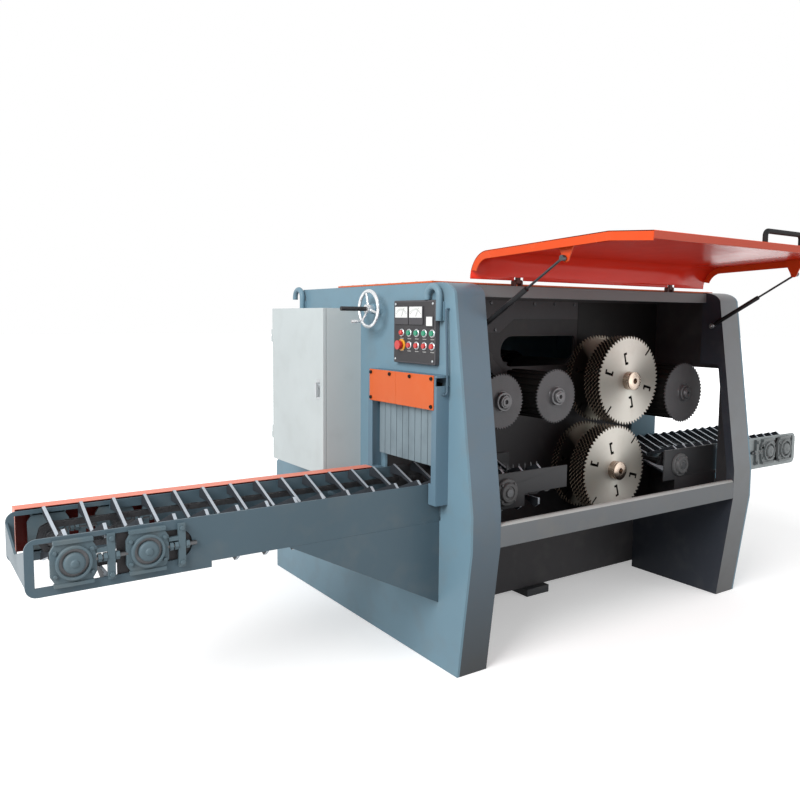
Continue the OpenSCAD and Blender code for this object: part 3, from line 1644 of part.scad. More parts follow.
emergency_stop();
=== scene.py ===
# Multi rip saw with its hood open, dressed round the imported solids.
# Shapes are drawn in millimetres: x from the outer face of the infeed plate along the feed,
# y from the datum of the service side to the rear, z up from the floor.
from math import cos, hypot, pi, radians, sin, tau

import bmesh
import bpy
from mathutils import Matrix, Vector


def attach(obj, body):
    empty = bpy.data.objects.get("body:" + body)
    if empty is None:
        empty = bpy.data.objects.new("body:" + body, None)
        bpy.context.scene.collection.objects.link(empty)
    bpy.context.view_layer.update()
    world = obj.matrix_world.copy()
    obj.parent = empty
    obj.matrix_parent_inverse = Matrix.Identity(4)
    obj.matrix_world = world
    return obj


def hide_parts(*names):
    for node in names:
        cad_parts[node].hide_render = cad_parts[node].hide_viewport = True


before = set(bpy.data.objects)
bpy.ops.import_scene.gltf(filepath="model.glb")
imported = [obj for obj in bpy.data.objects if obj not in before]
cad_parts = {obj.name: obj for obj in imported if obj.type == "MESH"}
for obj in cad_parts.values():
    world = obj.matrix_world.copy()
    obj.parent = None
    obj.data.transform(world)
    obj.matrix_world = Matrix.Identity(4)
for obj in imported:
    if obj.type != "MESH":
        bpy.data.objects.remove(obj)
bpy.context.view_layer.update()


# Side plates. Two flame-cut steel plates, 12 thick, stand across the feed and carry the whole machine.
# Their edges are ground, and they are sprayed with blue-grey machine enamel after welding.
METRE = 1000
plate_l, plate_t = 1966, 12
outfeed_x = plate_l - plate_t
middle_x, middle_y = plate_l / 2, 780
TO_FRAME = Matrix.Scale(1 / METRE, 4) @ Matrix.Translation((-middle_x, -middle_y, 0))


class Value:
    """A shader socket. The operators on it add Math nodes."""

    def __init__(self, finish, socket):
        self.finish = finish
        self.socket = socket

    def maths(self, operation, first, second):
        return self.finish.node("ShaderNodeMath", {"operation": operation}, {0: first, 1: second})

    def __add__(self, other):
        return self.maths("ADD", self, other)

    __radd__ = __add__

    def __sub__(self, other):
        return self.maths("SUBTRACT", self, other)

    def __rsub__(self, other):
        return self.maths("SUBTRACT", other, self)

    def __mul__(self, other):
        return self.maths("MULTIPLY", self, other)

    __rmul__ = __mul__

    def __truediv__(self, other):
        return self.maths("DIVIDE", self, other)

    def held(self):
        return self.finish.node("ShaderNodeClamp", {}, {"Value": self})


class Finish:
    """The nodes of a surface finish or of the surround, all added by one method."""

    def __init__(self, name, constants, surround=False):
        self.material = bpy.data.worlds.new(name) if surround else bpy.data.materials.new(name)
        self.material.use_nodes = True
        self.tree = self.material.node_tree
        self.shader = self.tree.nodes["Background" if surround else "Principled BSDF"]
        for socket, value in constants.items():
            self.shader.inputs[socket].default_value = value
        self.spot = self.node("ShaderNodeTexCoord", {}, {}, "Object")

    def node(self, kind, settings, sockets, out=0):
        made = self.tree.nodes.new(kind)
        for key, value in settings.items():
            setattr(made, key, value)
        for key, value in sockets.items():
            self.feed(made.inputs[key], value)
        return Value(self, made.outputs[out])

    def feed(self, socket, value):
        if isinstance(value, Value):
            self.tree.links.new(value.socket, socket)
        else:
            socket.default_value = value

    def set(self, socket, value):
        self.feed(self.shader.inputs[socket], value)

    def place(self, axis):
        return self.node("ShaderNodeSeparateXYZ", {}, {"Vector": self.spot}, axis)

    def noise(self, scale, detail=2.0, stretch=(1, 1, 1)):
        spot = self.node("ShaderNodeMapping", {}, {"Vector": self.spot, "Scale": stretch})
        return self.node("ShaderNodeTexNoise", {}, {"Vector": spot, "Scale": scale, "Detail": detail})

    def blend(self, amount, low, high):
        return self.node("ShaderNodeMix", {"data_type": "RGBA"}, {0: amount, 6: low, 7: high}, 2)

    def viewed(self):
        """One where the camera looks, straight, in a reflection or through glass."""
        rays = [self.node("ShaderNodeLightPath", {}, {}, f"Is {kind} Ray")
                for kind in ("Camera", "Glossy", "Transmission")]
        return (rays[0] + rays[1] + rays[2]).held()

    def bump(self, height, depth):
        self.set("Normal", self.node("ShaderNodeBump", {}, {"Height": height, "Distance": depth}))


def tint(red, green, blue):
    """A colour as a screen shows it, from 0 to 255, in linear numbers."""
    return tuple(((c / 255 + 0.055) / 1.055) ** 2.4 for c in (red, green, blue)) + (1.0,)


def shaded(colour, share):
    return tuple(min(1.0, c * share) for c in tint(*colour)[:3]) + (1.0,)


def enamel(name, colour, gloss=0.36, dust=0.2, dust_colour=(120, 118, 112), foot=0.0, inner=None,
           outfeed=None):
    """Sprayed machine paint: slow changes of tone, orange peel, a film of sawdust, and darker towards the
    floor.

    An inner colour is painted where the piece runs inside the body; on the rails it is painted shade, for
    the shaded inside of the body. An outfeed colour, paler, is painted beyond the outfeed plate.
    """
    body_half, fade, foot_fade_z = 0.98, 0.04, 0.9
    foot_darkening = tint(56, 52, 48)
    finish = Finish(name, {"Specular IOR Level": 0.2})
    shade = finish.noise(2.4, 3.0)
    smear = finish.noise(9.0, 6.0)
    peel = finish.noise(240.0, 1.0)
    coat = finish.blend(shade, shaded(colour, 0.88), shaded(colour, 1.1))
    film = ((smear - 0.5) * 4).held() * dust
    # The colour darkens towards the floor by the foot share.
    low = ((foot_fade_z - finish.place("Z")) / foot_fade_z).held() * foot
    dusty = finish.blend(film, coat, tint(*dust_colour))
    if inner:
        out = finish.node("ShaderNodeMath", {"operation": "ABSOLUTE"}, {0: finish.place("X")})
        dusty = finish.blend(((body_half - out) / fade).held(), dusty, tint(*inner))
    if outfeed:
        dusty = finish.blend(((finish.place("X") - body_half) / fade).held(), dusty, tint(*outfeed))
    finish.set("Base Color", finish.blend(low, dusty, foot_darkening))
    finish.set("Roughness", gloss + film * 0.4 + (smear - 0.5) * 0.1)
    finish.bump(peel, 0.00006)
    return finish


def flat(along, a, b, c):
    """The drawing point for outline numbers a and b at the distance c along an axis."""
    return {"x": (c, a, b), "y": (a, c, b), "z": (a, b, c)}[along]


def oblong(low, high):
    """The four corners of a rectangle."""
    return [(low[0], low[1]), (high[0], low[1]), (high[0], high[1]), (low[0], high[1])]


def arc(centre, radii, turns):
    """Points on a round or an oval."""
    return [(centre[0] + radii[0] * cos(t), centre[1] + radii[1] * sin(t)) for t in turns]


def full_turn(steps):
    return [tau * i / steps for i in range(steps)]


def circle(centre, radius, steps):
    return arc(centre, (radius, radius), full_turn(steps))


def cut_plate(along, start, thick, outline, holes=()):
    """A plate cut to an outline with holes, thick along one axis."""
    shape = bmesh.new()
    edges = []
    for ring in (outline, *holes):
        corners = [shape.verts.new(flat(along, a, b, start)) for a, b in ring]
        edges += [shape.edges.new(pair) for pair in zip(corners, corners[1:] + corners[:1])]
    bmesh.ops.triangle_fill(shape, use_beauty=True, use_dissolve=False, edges=edges)
    grown = bmesh.ops.extrude_face_region(shape, geom=shape.faces[:])
    moved = [part for part in grown["geom"] if isinstance(part, bmesh.types.BMVert)]
    bmesh.ops.translate(shape, verts=moved, vec=Vector(flat(along, 0, 0, thick)))
    bmesh.ops.recalc_face_normals(shape, faces=shape.faces[:])
    return shape


def skinned(shape, rings, closed):
    """Joins rings of points into a skin."""
    steps = len(rings[0])
    for low, high in zip(rings, rings[1:] + rings[:1] if closed else rings[1:]):
        for i in range(steps):
            j = (i + 1) % steps
            shape.faces.new((low[i], low[j], high[j], high[i]))
    if not closed:
        shape.faces.new(rings[0])
        shape.faces.new(rings[-1])
    bmesh.ops.recalc_face_normals(shape, faces=shape.faces[:])
    return shape


def turned(along, centre, profile, steps=48, closed=False):
    """A turned piece from distances along its axis and radii. Its ends are capped unless it is closed."""
    shape = bmesh.new()
    rings = [[shape.verts.new(flat(along, a, b, reach)) for a, b in circle(centre, radius, steps)]
             for reach, radius in profile]
    return skinned(shape, rings, closed)


def as_mesh(name, shape):
    mesh = bpy.data.meshes.new(name)
    shape.to_mesh(mesh)
    shape.free()
    return mesh


def put(name, data):
    """Sets a mesh, a lamp or a camera in the scene."""
    made = bpy.data.objects.new(name, data)
    bpy.context.scene.collection.objects.link(made)
    return made


def merged(shapes):
    """One shape from several."""
    whole = bmesh.new()
    for shape in shapes:
        part = as_mesh("part", shape)
        whole.from_mesh(part)
        bpy.data.meshes.remove(part)
    return whole


def round_edges(piece, edge, from_angle=40):
    """A rounded edge as grinding, folding or casting leaves it."""
    bevel = piece.modifiers.new("Rounded edges", "BEVEL")
    bevel.width = edge / METRE
    bevel.segments = 2
    bevel.limit_method = "ANGLE"
    bevel.angle_limit = radians(from_angle)
    bevel.harden_normals = True


def settle(name, shapes, finishes, replaced=(), edge=0.0, body="machine_frame", wall=0.0, lining=0):
    """Joins shapes into one piece that rides on a body and stands for CAD nodes.

    An edge is rounded, and a wall makes a skin a sheet, lined with the finish of that number.
    """
    sharp_angle = 38
    whole = merged(shapes)
    whole.transform(TO_FRAME)
    mesh = as_mesh(name, whole)
    mesh.shade_smooth()
    if not edge:
        mesh.set_sharp_from_angle(angle=radians(sharp_angle))
    piece = put(name, mesh)
    for finish in finishes:
        mesh.materials.append(finish.material)
    if wall:
        shell = piece.modifiers.new("Sheet", "SOLIDIFY")
        shell.thickness = wall / METRE
        shell.offset = -1
        shell.material_offset = lining
        shell.material_offset_rim = 0
    if edge:
        round_edges(piece, edge)
    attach(piece, body)
    if replaced:
        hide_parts(*replaced)


nose_y, nose_z = 76, 1593
shoulder_y, top_z = -32, 1650
foot_y, belly_y = -83, -158
belly_low, belly_high = 550, 702
back_y, tail_y = 1315, 1676
wall_y = 490
opening_near, opening_far, opening_low = 46, 480, 590
nose_turns = [pi / 2 * i / 24 for i in range(25)]
nose_line = arc((nose_y, nose_z), (shoulder_y - nose_y, top_z - nose_z), nose_turns)
front_line = [(foot_y, 0), (belly_y, belly_low), (belly_y, belly_high)] + nose_line
plate_line = front_line + [(back_y, top_z), (back_y, 900), (tail_y, 640), (tail_y, 0)]
log_opening = oblong((opening_near, opening_low), (opening_far, 1232))
body_blue = enamel("Body blue enamel", (111, 140, 155), foot=0.05)
chamber_black = enamel("Chamber black paint", (56, 55, 57), gloss=0.5, dust=0.1)


def lined_plate(start, inner_side):
    """A side plate whose face towards the saws is black over the chamber."""
    shape = cut_plate("x", start, plate_t, plate_line, [log_opening])
    bmesh.ops.bisect_plane(shape, geom=shape.verts[:] + shape.edges[:] + shape.faces[:],
                           plane_co=(0, wall_y, 0), plane_no=(0, 1, 0))
    for face in shape.faces:
        middle = face.calc_center_median()
        if abs(middle.x - inner_side) < 1 and middle.y < wall_y:
            face.material_index = 1
    return shape


for side, start, inner_side in (("infeed", 0, plate_t), ("outfeed", outfeed_x, outfeed_x)):
    settle(f"{side}_side_plate_cut", [lined_plate(start, inner_side)], [body_blue, chamber_black],
           [f"{side}_side_plate"], edge=2.0)
wheel_y, wheel_z = 533, 1541
boss_line = [(0, 30), (-5, 26), (-9, 24), (-43, 24), (-45, 22), (-45, 10.5), (0, 10.5)]
settle("screw_boss", [turned("x", (wheel_y, wheel_z), boss_line, closed=True)], [body_blue])


# Front columns. Each is one folded 10 mm sheet with a round nose, deep at head and foot, open below.
# The side towards the saws is sprayed dark, and under the chute it runs back to the chamber wall.
column_t, column_w = 10, 147
chamber_low, chamber_high = plate_t + column_w, outfeed_x - column_w
head_y, head_z = -34, 1262
shin_y, knee_z = -113, 480
heel_y, heel_z = 40, 200
sill_low, chute_low = 551, 324
heel_line = [(shin_y, knee_z), (heel_y, heel_z), (heel_y, 0)]
column_line = front_line + [(nose_y, head_z), (head_y, head_z), (shin_y, belly_high)] + heel_line
column_grey = enamel("Column front enamel", (96, 114, 127), foot=0.8)
# The far column's front takes a paler copy of the column paint, painted light.
column_far_lit = enamel("Far column lit enamel", (126, 130, 133), foot=0.6)
column_inside = enamel("Column inner navy paint", (50, 54, 62), gloss=0.45, dust=0.1)


def folded_column(start, plate_side, inner_side, front):
    """The skin of a column, open below and towards its side plate. Its front has the finish of a number."""
    shape = cut_plate("x", start, column_w, column_line)
    hidden = []
    for face in shape.faces:
        middle = face.calc_center_median()
        if middle.z < 1 or abs(middle.x - plate_side) < 1:
            hidden.append(face)
        else:
            face.material_index = 1 if abs(middle.x - inner_side) < 1 else front
    bmesh.ops.delete(shape, geom=hidden, context="FACES")
    return shape


columns = [folded_column(plate_t, plate_t, chamber_low, 0),
           folded_column(chamber_high, outfeed_x, chamber_high, 2)]
settle("front_columns_folded", columns, [column_grey, column_inside, column_far_lit],
       ["front_columns"], edge=3.0, wall=column_t)
leg_line = heel_line[::-1] + [(shin_y, sill_low), (wall_y, chute_low), (wall_y, 0)]
linings = [cut_plate("x", x, column_t, leg_line) for x in (chamber_low - column_t, chamber_high)]
settle("leg_linings", linings, [column_inside])


def steel(name, colour, rough, metal=1.0, streak=(1, 1, 1), stain=0.35):
    """Bare or oiled steel: streaks from the mill or the grinder, and darker stains."""
    finish = Finish(name, {"Metallic": metal, "Specular IOR Level": 0.3})
    grain = finish.noise(160.0, 2.0, streak)
    blot = finish.noise(7.0, 5.0)
    mark = ((blot - 0.48) * 4).held() * stain
    bright = finish.blend(grain, shaded(colour, 0.8), shaded(colour, 1.15))
    finish.set("Base Color", finish.blend(mark, bright, shaded(colour, 0.35)))
    finish.set("Roughness", rough + (grain - 0.5) * 0.25 + mark * 0.3)
    finish.bump(grain, 0.00005)
    return finish


dark_steel = steel("Dark oiled steel", (92, 93, 95), 0.45)
zinc = steel("Zinc plated steel", (190, 194, 196), 0.35, stain=0.15)
stud_y, stud_z = 0, 1470
stud_line = [(148, 6), (176, 6), (176, 10), (186, 10), (188, 8), (188, 6), (190, 5)]
far_stud_line = [(plate_l - reach, radius) for reach, radius in stud_line]
studs = [turned("x", (stud_y, stud_z), line, 24) for line in (stud_line, far_stud_line)]
settle("strut_studs", studs, [zinc])


# Front sill. A folded channel joins the columns at belly height, and its top falls towards the saws and
# is painted pale, a painted highlight. A thin chute of black sheet runs from it down to the chamber wall
# and sheds the chips.
sill_high, sill_back = 651, -98
sill_t, sill_fall, sill_bend, sill_chamfer = 8, 12, 16, 6
sill_inner, bend_low = belly_y + sill_t, sill_high - sill_bend
bend_line = arc((belly_y + sill_bend, bend_low), (-sill_bend, sill_bend), nose_turns[::6])
sill_line = [(belly_y, sill_low)] + bend_line
sill_line += [(sill_back, sill_high - sill_fall), (sill_back, sill_high - sill_fall - sill_t)]
sill_line += [(sill_inner + sill_chamfer, bend_low + sill_chamfer), (sill_inner, bend_low)]
sill_line += [(sill_inner, sill_low + sill_t), (sill_back, sill_low + sill_t), (sill_back, sill_low)]
chute_top, chute_t = sill_low + 1, 6
chute_line = [(sill_back, chute_top), (sill_back, chute_top + chute_t), (wall_y, chute_low + chute_t),
              (wall_y, chute_low)]
sill_grey = enamel("Sill grey enamel", (101, 105, 108), dust=0.35)
sill_top_highlight = enamel("Sill top highlight enamel", (164, 166, 164), dust=0.3)
chamber_w = chamber_high - chamber_low
sill, chute = (cut_plate("x", chamber_low, chamber_w, line) for line in (sill_line, chute_line))
# Upward faces of the top take the paler enamel, a painted highlight.
for face in sill.faces:
    face.material_index = 1 if face.normal.z > 0.2 and face.calc_center_median().z > bend_low else 0
settle("front_sill_channel", [sill], [sill_grey, sill_top_highlight], ["front_sill"], edge=2.5)
settle("chip_chute", [chute], [chamber_black], edge=1.0)


# Chamber wall and top beam. A thick black plate divides the saws from the drives; the beam over the
# opening is dark grey channel that carries the hood hinges. Liner sheets are bolted on the wall, and a
# blue fence stands on it beside the outfeed lane.
def dress(node, finish, edge, other=None, chosen=None):
    """Gives a CAD node its finish, joins its loose triangles and rounds its edges.

    Faces whose middle is chosen get the other finish.
    """
    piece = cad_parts[node]
    piece.data.materials.clear()
    piece.data.materials.append(finish.material)
    if other:
        piece.data.materials.append(other.material)
    for polygon in piece.data.polygons:
        polygon.material_index = 1 if other and chosen(polygon.center) else 0
    weld = piece.modifiers.new("Joined triangles", "WELD")
    weld.merge_threshold = 0.00002
    round_edges(piece, edge)


def copies(template, places, turns=()):
    """Sets a shape at each place through Geometry Nodes, with three angles for each where it is turned."""
    pattern = put("template", as_mesh("template", template))
    points = bpy.data.meshes.new("places")
    points.from_pydata(places, [], [])
    turn_values = points.attributes.new("turn", "FLOAT_VECTOR", "POINT")
    if turns:
        turn_values.data.foreach_set("vector", [angle for turn in turns for angle in turn])
    holder = put("places", points)

    tree = bpy.data.node_groups.new("Copies", "GeometryNodeTree")
    named = {}
    for key, kind in (("Places", "Geometry"), ("Shape", "Object"), ("Finish", "Material")):
        named[key] = tree.interface.new_socket(key, in_out="INPUT", socket_type="NodeSocket" + kind)
    tree.interface.new_socket("Copies", in_out="OUTPUT", socket_type="NodeSocketGeometry")
    given = tree.nodes.new("NodeGroupInput")
    shape = tree.nodes.new("GeometryNodeObjectInfo")
    angles = tree.nodes.new("GeometryNodeInputNamedAttribute")
    angles.data_type = "FLOAT_VECTOR"
    angles.inputs["Name"].default_value = "turn"
    spread = tree.nodes.new("GeometryNodeInstanceOnPoints")
    real = tree.nodes.new("GeometryNodeRealizeInstances")
    coat = tree.nodes.new("GeometryNodeSetMaterial")
    result = tree.nodes.new("NodeGroupOutput")
    wires = ((given, "Places", spread, "Points"), (given, "Shape", shape, "Object"),
             (given, "Finish", coat, "Material"), (shape, "Geometry", spread, "Instance"),
             (angles, "Attribute", spread, "Rotation"), (spread, "Instances", real, "Geometry"),
             (real, "Geometry", coat, "Geometry"), (coat, "Geometry", result, "Copies"))
    for giver, output, taker, entry in wires:
        tree.links.new(giver.outputs[output], taker.inputs[entry])

    spreading = holder.modifiers.new("Copies", "NODES")
    spreading.node_group = tree
    spreading[named["Shape"].identifier] = pattern
    spreading[named["Finish"].identifier] = zinc.material
    graph = bpy.context.evaluated_depsgraph_get()
    made = bpy.data.meshes.new_from_object(holder.evaluated_get(graph))
    joined = bmesh.new()
    joined.from_mesh(made)
    for face in joined.faces:
        face.material_index = 0
    holder.modifiers.remove(spreading)
    for spent in (holder, pattern):
        bpy.data.objects.remove(spent)
    bpy.data.node_groups.remove(tree)
    return joined


def heads(name, along, profile, places, finish, steps=20):
    """A set of like turned heads or pins on the machine frame."""
    settle(name, [copies(turned(along, (0, 0), profile, steps), places)], [finish])


def block(low, high):
    """A rectangular bar or sheet between two corners."""
    return cut_plate("z", low[2], high[2] - low[2], oblong(low, high))


bolt_line = [(0, 8), (-4, 8), (-6, 6.5), (-6, 3.5), (-3, 3.2), (-3, 0.5)]
lug_low = 1645.5
beam_grey = enamel("Beam dark grey paint", (112, 114, 115), gloss=0.4, dust=0.12)
liner_grey = enamel("Liner dark paint", (72, 71, 74), gloss=0.5, dust=0.1)
lug_brown = enamel("Hinge paint", (74, 34, 28), gloss=0.4, dust=0.15)
saw_black = enamel("Black paint by the saws", (30, 29, 30), gloss=0.5, dust=0.05)
dress("chamber_wall", chamber_black, 1.0)
dress("top_front_beam", beam_grey, 2.0, lug_brown, lambda middle: middle.z > lug_low / METRE)
liner_left, liner_right, liner_top, liner_t = 160, 1272, 1594, 3
liner_face = wall_y - liner_t
wall_end = outfeed_x - 2
liner_line = [(liner_left, 1430), (700, 1430), (800, 1500), (liner_right, 1500), (liner_right, liner_top),
              (liner_left, liner_top)]
settle("wall_liner", [cut_plate("y", liner_face, liner_t, liner_line)], [liner_grey], edge=0.6)
saw_liner = block((liner_right + 4, wall_y - 1.5, head_z), (wall_end, wall_y, liner_top))
settle("wall_liner_right", [saw_liner], [saw_black])
liner_bolts = [(x, liner_face, 1580) for x in range(190, 1260, 150)]
liner_bolts += [(x, liner_face, 1444) for x in range(190, 700, 120)]
heads("liner_bolts", "y", bolt_line, liner_bolts, dark_steel)
fence_x, fence_low, fence_high = 1740, 812, 944
fence = [block((fence_x, wall_y - 16, fence_low), (wall_end, wall_y, fence_high)),
         block((fence_x, wall_y - 24, fence_low - 12), (wall_end, wall_y, fence_low))]
settle("outfeed_fence", fence, [body_blue], edge=2.0)


# Top cover. A flat orange sheet closes the front half of the body's top.
# Low cap screws along its edges hold it to the side plates.
orange = enamel("Orange enamel", (206, 94, 42), gloss=0.3, dust=0.1, dust_colour=(196, 140, 108))
dress("top_cover", orange, 2.0)
cap_in = 18
cap_line = [(1658, 8), (1659.2, 8), (1660.5, 6), (1660.5, 0.5)]
cap_places = [(x, y, 0) for x in (cap_in, plate_l - cap_in) for y in range(150, 921, 110)]
heads("cover_screws", "z", cap_line, cap_places, zinc)


# Lifting hooks. Four canes of round bar with a flat pad are welded to the corners of the side plates.
# They are sprayed with the body.
dress("lifting_hooks", body_blue, 1.0)


# Base frame and rear panels. Foot plates, cross tubes, motor bed and shelf are welded from dark steel.
# Folded blue sheets close the rear, with two louvred vents and a bolted hatch for the belts.
frame_grey = enamel("Frame dark grey paint", (58, 60, 63), gloss=0.5, dust=0.3)
dress("base_frame", frame_grey, 2.0)
dress("rear_panels", body_blue, 1.5)
hatch_x, hatch_face = 1055, back_y + 3
vent_xs, vent_w, vent_low, vent_high, vent_face = (560, 1060), 400, 120, 520, tail_y + 2
hatch_blue = enamel("Hatch blue enamel", (102, 130, 146))
hatches = [block((hatch_x - 365, back_y, 960), (hatch_x + 365, hatch_face, 1560))]
hatches += [block((x, tail_y, vent_low), (x + vent_w, vent_face, vent_high)) for x in vent_xs]
settle("rear_hatches", hatches, [hatch_blue], edge=1.0)
hatch_bolts = [(hatch_x + a, hatch_face, z) for a in (-345, 0, 345) for z in (980, 1540)]
hatch_bolts += [(hatch_x + a, hatch_face, 1260) for a in (-345, 345)]
hatch_bolts += [(x + a, vent_face, z) for x in vent_xs for a in (15, vent_w - 15)
                for z in (vent_low + 15, vent_high - 15)]
heads("hatch_bolts", "y", [(-out, radius) for out, radius in bolt_line], hatch_bolts, zinc)
louvre_w, louvre_step = 300, 34
louvre_line = [(vent_face + y, z) for y, z in ((0, 0), (1, 0), (10, -14), (9, -15), (0, -6))]
louvre_places = [(x + vent_w / 2, 0, 470 - louvre_step * i) for x in vent_xs for i in range(10)]
louvre = cut_plate("x", -louvre_w / 2, louvre_w, louvre_line)
settle("louvres", [copies(louvre, louvre_places)], [hatch_blue])


def bent_rod(points, radius, steps=16):
    """A round bar bent along points, with flat ends."""
    path = [Vector(point) for point in points]
    shape = bmesh.new()
    rings = []
    side = (path[1] - path[0]).orthogonal().normalized()
    for i, point in enumerate(path):
        ahead = (path[min(i + 1, len(path) - 1)] - path[max(i - 1, 0)]).normalized()
        side = (side - ahead * side.dot(ahead)).normalized()
        up = ahead.cross(side)
        rings.append([shape.verts.new(point + radius * (cos(t) * side + sin(t) * up))
                      for t in full_turn(steps)])
    return skinned(shape, rings, False)


hatch_grip = [(hatch_x + a, hatch_face + b, 1330) for a, b in ((-55, 0), (-55, 22), (-50, 32), (-40, 36))]
hatch_grip += [(2 * hatch_x - x, y, z) for x, y, z in hatch_grip[::-1]]
settle("hatch_handle", [bent_rod(hatch_grip, 7)], [dark_steel])


# Infeed guard. A welded box stands round the log opening, with an orange plate screwed across its top
# in two halves. A row of steel fingers hangs from its bar and stops anything that is thrown back.
finger_steel = steel("Finger steel", (124, 140, 148), 0.5, 0.2, (60, 60, 1.5))
guard_blue = enamel("Guard blue enamel", (98, 124, 140), dust=0.15)
dress("infeed_guard_box", guard_blue, 1.5)
dress("kickback_fingers", finger_steel, 1.5)
guard_face, guard_back, guard_low, guard_high = -69, -65, 1122, 1266
guard_near, guard_split, guard_far, screw_in = 15, 296, 511, 14
guard_plates = [block((guard_face, near, guard_low), (guard_back, far, guard_high))
                for near, far in ((guard_near, guard_split), (guard_split + 1, guard_far))]
settle("guard_plate_halves", guard_plates, [orange], ["infeed_guard_plate"], edge=1.0)
screw_line = [(guard_face - out, radius)
              for out, radius in ((0, 8), (5, 8), (7, 6.5), (7, 3.5), (3, 3.2), (3, 0.5))]
screw_ys = [guard_near + screw_in + 156 * i for i in range(4)]
screw_places = [(0, y, guard_high - screw_in) for y in screw_ys]
screw_places += [(0, y, guard_low + screw_in) for y in screw_ys[::3]]
screw_black = steel("Blackened screw steel", (40, 36, 34), 0.5, 0.7)
heads("guard_screws", "x", screw_line, screw_places, screw_black)
latch = bent_rod([(0, 4, 1538), (-10, 4, 1538), (-15, 4, 1535), (-16, 4, 1528), (-16, -8, 1300),
                  (-16, -9, 1200), (-18, -9, 1192), (-23, -9, 1186), (-30, -9, 1184), (-36, -9, 1189)], 5)
latch_blue = enamel("Latch rod enamel", (78, 98, 112), dust=0.1)
settle("latch_rod", [latch], [latch_blue])


# Electrical cabinet. A pale powder-coated sheet box with a pan door, two hinges and a turn lock.
# It is bolted to the rear part of the infeed plate; a black rubber seal lies behind the door.
powder_pale = enamel("Pale powder coat", (189, 197, 198), gloss=0.45, dust=0.08)
rubber = enamel("Black rubber", (26, 26, 27), gloss=0.7, dust=0.1)
dress("cabinet_shell", powder_pale, 2.0)
dress("cabinet_door", powder_pale, 2.0)
dress("cabinet_lock", zinc, 2.0)
seal_near, seal_far, seal_low, seal_high, seal_w = 712, 1264, 753, 1537, 12
seal_outer = oblong((seal_near, seal_low), (seal_far, seal_high))
seal_inner = oblong((seal_near + seal_w, seal_low + seal_w), (seal_far - seal_w, seal_high - seal_w))
settle("door_seal", [cut_plate("x", -191.9, 1.8, seal_outer, [seal_inner])], [rubber])
lock_plate = oblong((736, 1110), (768, 1206))
settle("lock_plate", [cut_plate("x", -209.5, 1.5, lock_plate)], [zinc], edge=0.6,
       body="cabinet_door")


# Control panel. A dark moulded box with meters, a lamp and two rows of push buttons, screwed to the
# infeed plate in reach of the service side. Pale legend strips without any print lie under the buttons.
panel_near, panel_far, panel_low, panel_high, panel_rim = 66, 377, 1303, 1577, 8
box_x, face_x, meter_x, dial_x = -25, -26, -32, -33
button_ys = (309, 252.5, 196, 139.5, 83)
red_row, green_row = 1382, 1436
panel_dark = enamel("Panel plastic", (76, 75, 78), gloss=0.5, dust=0.1)
panel_face = enamel("Panel face", (60, 59, 61), gloss=0.45, dust=0.1)
panel_box = block((box_x, panel_near, panel_low), (0, panel_far, panel_high))
settle("panel_box", [panel_box], [panel_dark], ["control_panel"], edge=4.0)
face_sheet = block((face_x, panel_near + panel_rim, panel_low + panel_rim),
                   (box_x, panel_far - panel_rim, panel_high - panel_rim))
settle("panel_face", [face_sheet], [panel_face], edge=0.4)


def gloss_plastic(name, colour):
    """Moulded plastic with a faint moulding texture."""
    finish = Finish(name, {"Coat Weight": 0.4, "Coat Roughness": 0.1})
    cloud = finish.noise(90.0, 3.0)
    finish.set("Base Color", finish.blend(cloud, shaded(colour, 0.85), shaded(colour, 1.1)))
    finish.set("Roughness", 0.3 + cloud * 0.12)
    finish.bump(cloud, 0.00004)
    return finish


button_green = gloss_plastic("Green button plastic", (20, 140, 104))
button_red = gloss_plastic("Red button plastic", (192, 40, 36))
stop_yellow = gloss_plastic("Yellow stop plate", (226, 160, 40))
dial_white = gloss_plastic("White dial", (228, 230, 228))
label_grey = gloss_plastic("Legend strip", (140, 140, 138))
for i in range(1, 5):
    dress(f"green_button_{i}", button_green, 3.0)
    dress(f"red_button_{i}", button_red, 3.0)
dress("emergency_stop", button_red, 5.0)
ring_line = [(box_x, 18), (-29, 18), (-31, 16), (-31, 12), (box_x, 12)]
ring_places = [(0, y, z) for y in button_ys[1:] for z in (red_row, green_row)]
ring_places += [(0, button_ys[0], green_row)]
rings = copies(turned("x", (0, 0), ring_line, 32, True), ring_places)
settle("button_rings", [rings], [zinc])
stop_line = [(box_x, 26), (-30, 26), (-31, 24), (-31, 12), (box_x, 12)]
stop_plate = turned("x", (button_ys[0], red_row), stop_line, 40, True)
settle("stop_plate", [stop_plate], [stop_yellow])
lamp_line = [(box_x, 11.5), (-35, 11.5), (-39, 9.5), (-41, 6), (-41.5, 1)]
settle("panel_lamp", [turned("x", (button_ys[0], green_row), lamp_line, 32)], [button_red])
corner_line = [(face_x, 6), (-28, 5.5), (-29.5, 3.5), (-30, 0.5)]
corner_in = 2 * panel_rim
corner_places = [(0, y, z) for y in (panel_near + corner_in, panel_far - corner_in)
                 for z in (panel_low + corner_in, panel_high - corner_in)]
heads("panel_screws", "x", corner_line, corner_places, zinc)
strip_places = [(0, y, z - 25) for y in button_ys for z in (red_row, green_row)]
strip = block((face_x - 0.4, -13, -2), (face_x, 13, 2))
settle("legend_strips", [copies(strip, strip_places)], [label_grey])
meter_ys, meter_half, dial_half = (199, 308), 51, 47
meter_cases = [block((meter_x, y - meter_half, 1472), (face_x, y + meter_half, 1552)) for y in meter_ys]
meter_cases += [block((meter_x, 74, 1464), (face_x, 124, 1510))]
settle("meter_cases", meter_cases, [panel_dark], edge=1.5)
dial_low = 1502
dials = [block((dial_x, y - dial_half, dial_low), (meter_x, y + dial_half, 1549)) for y in meter_ys]
dials += [block((dial_x, 78, 1468), (meter_x, 120, 1506))]
settle("meter_dials", dials, [dial_white], edge=0.3)
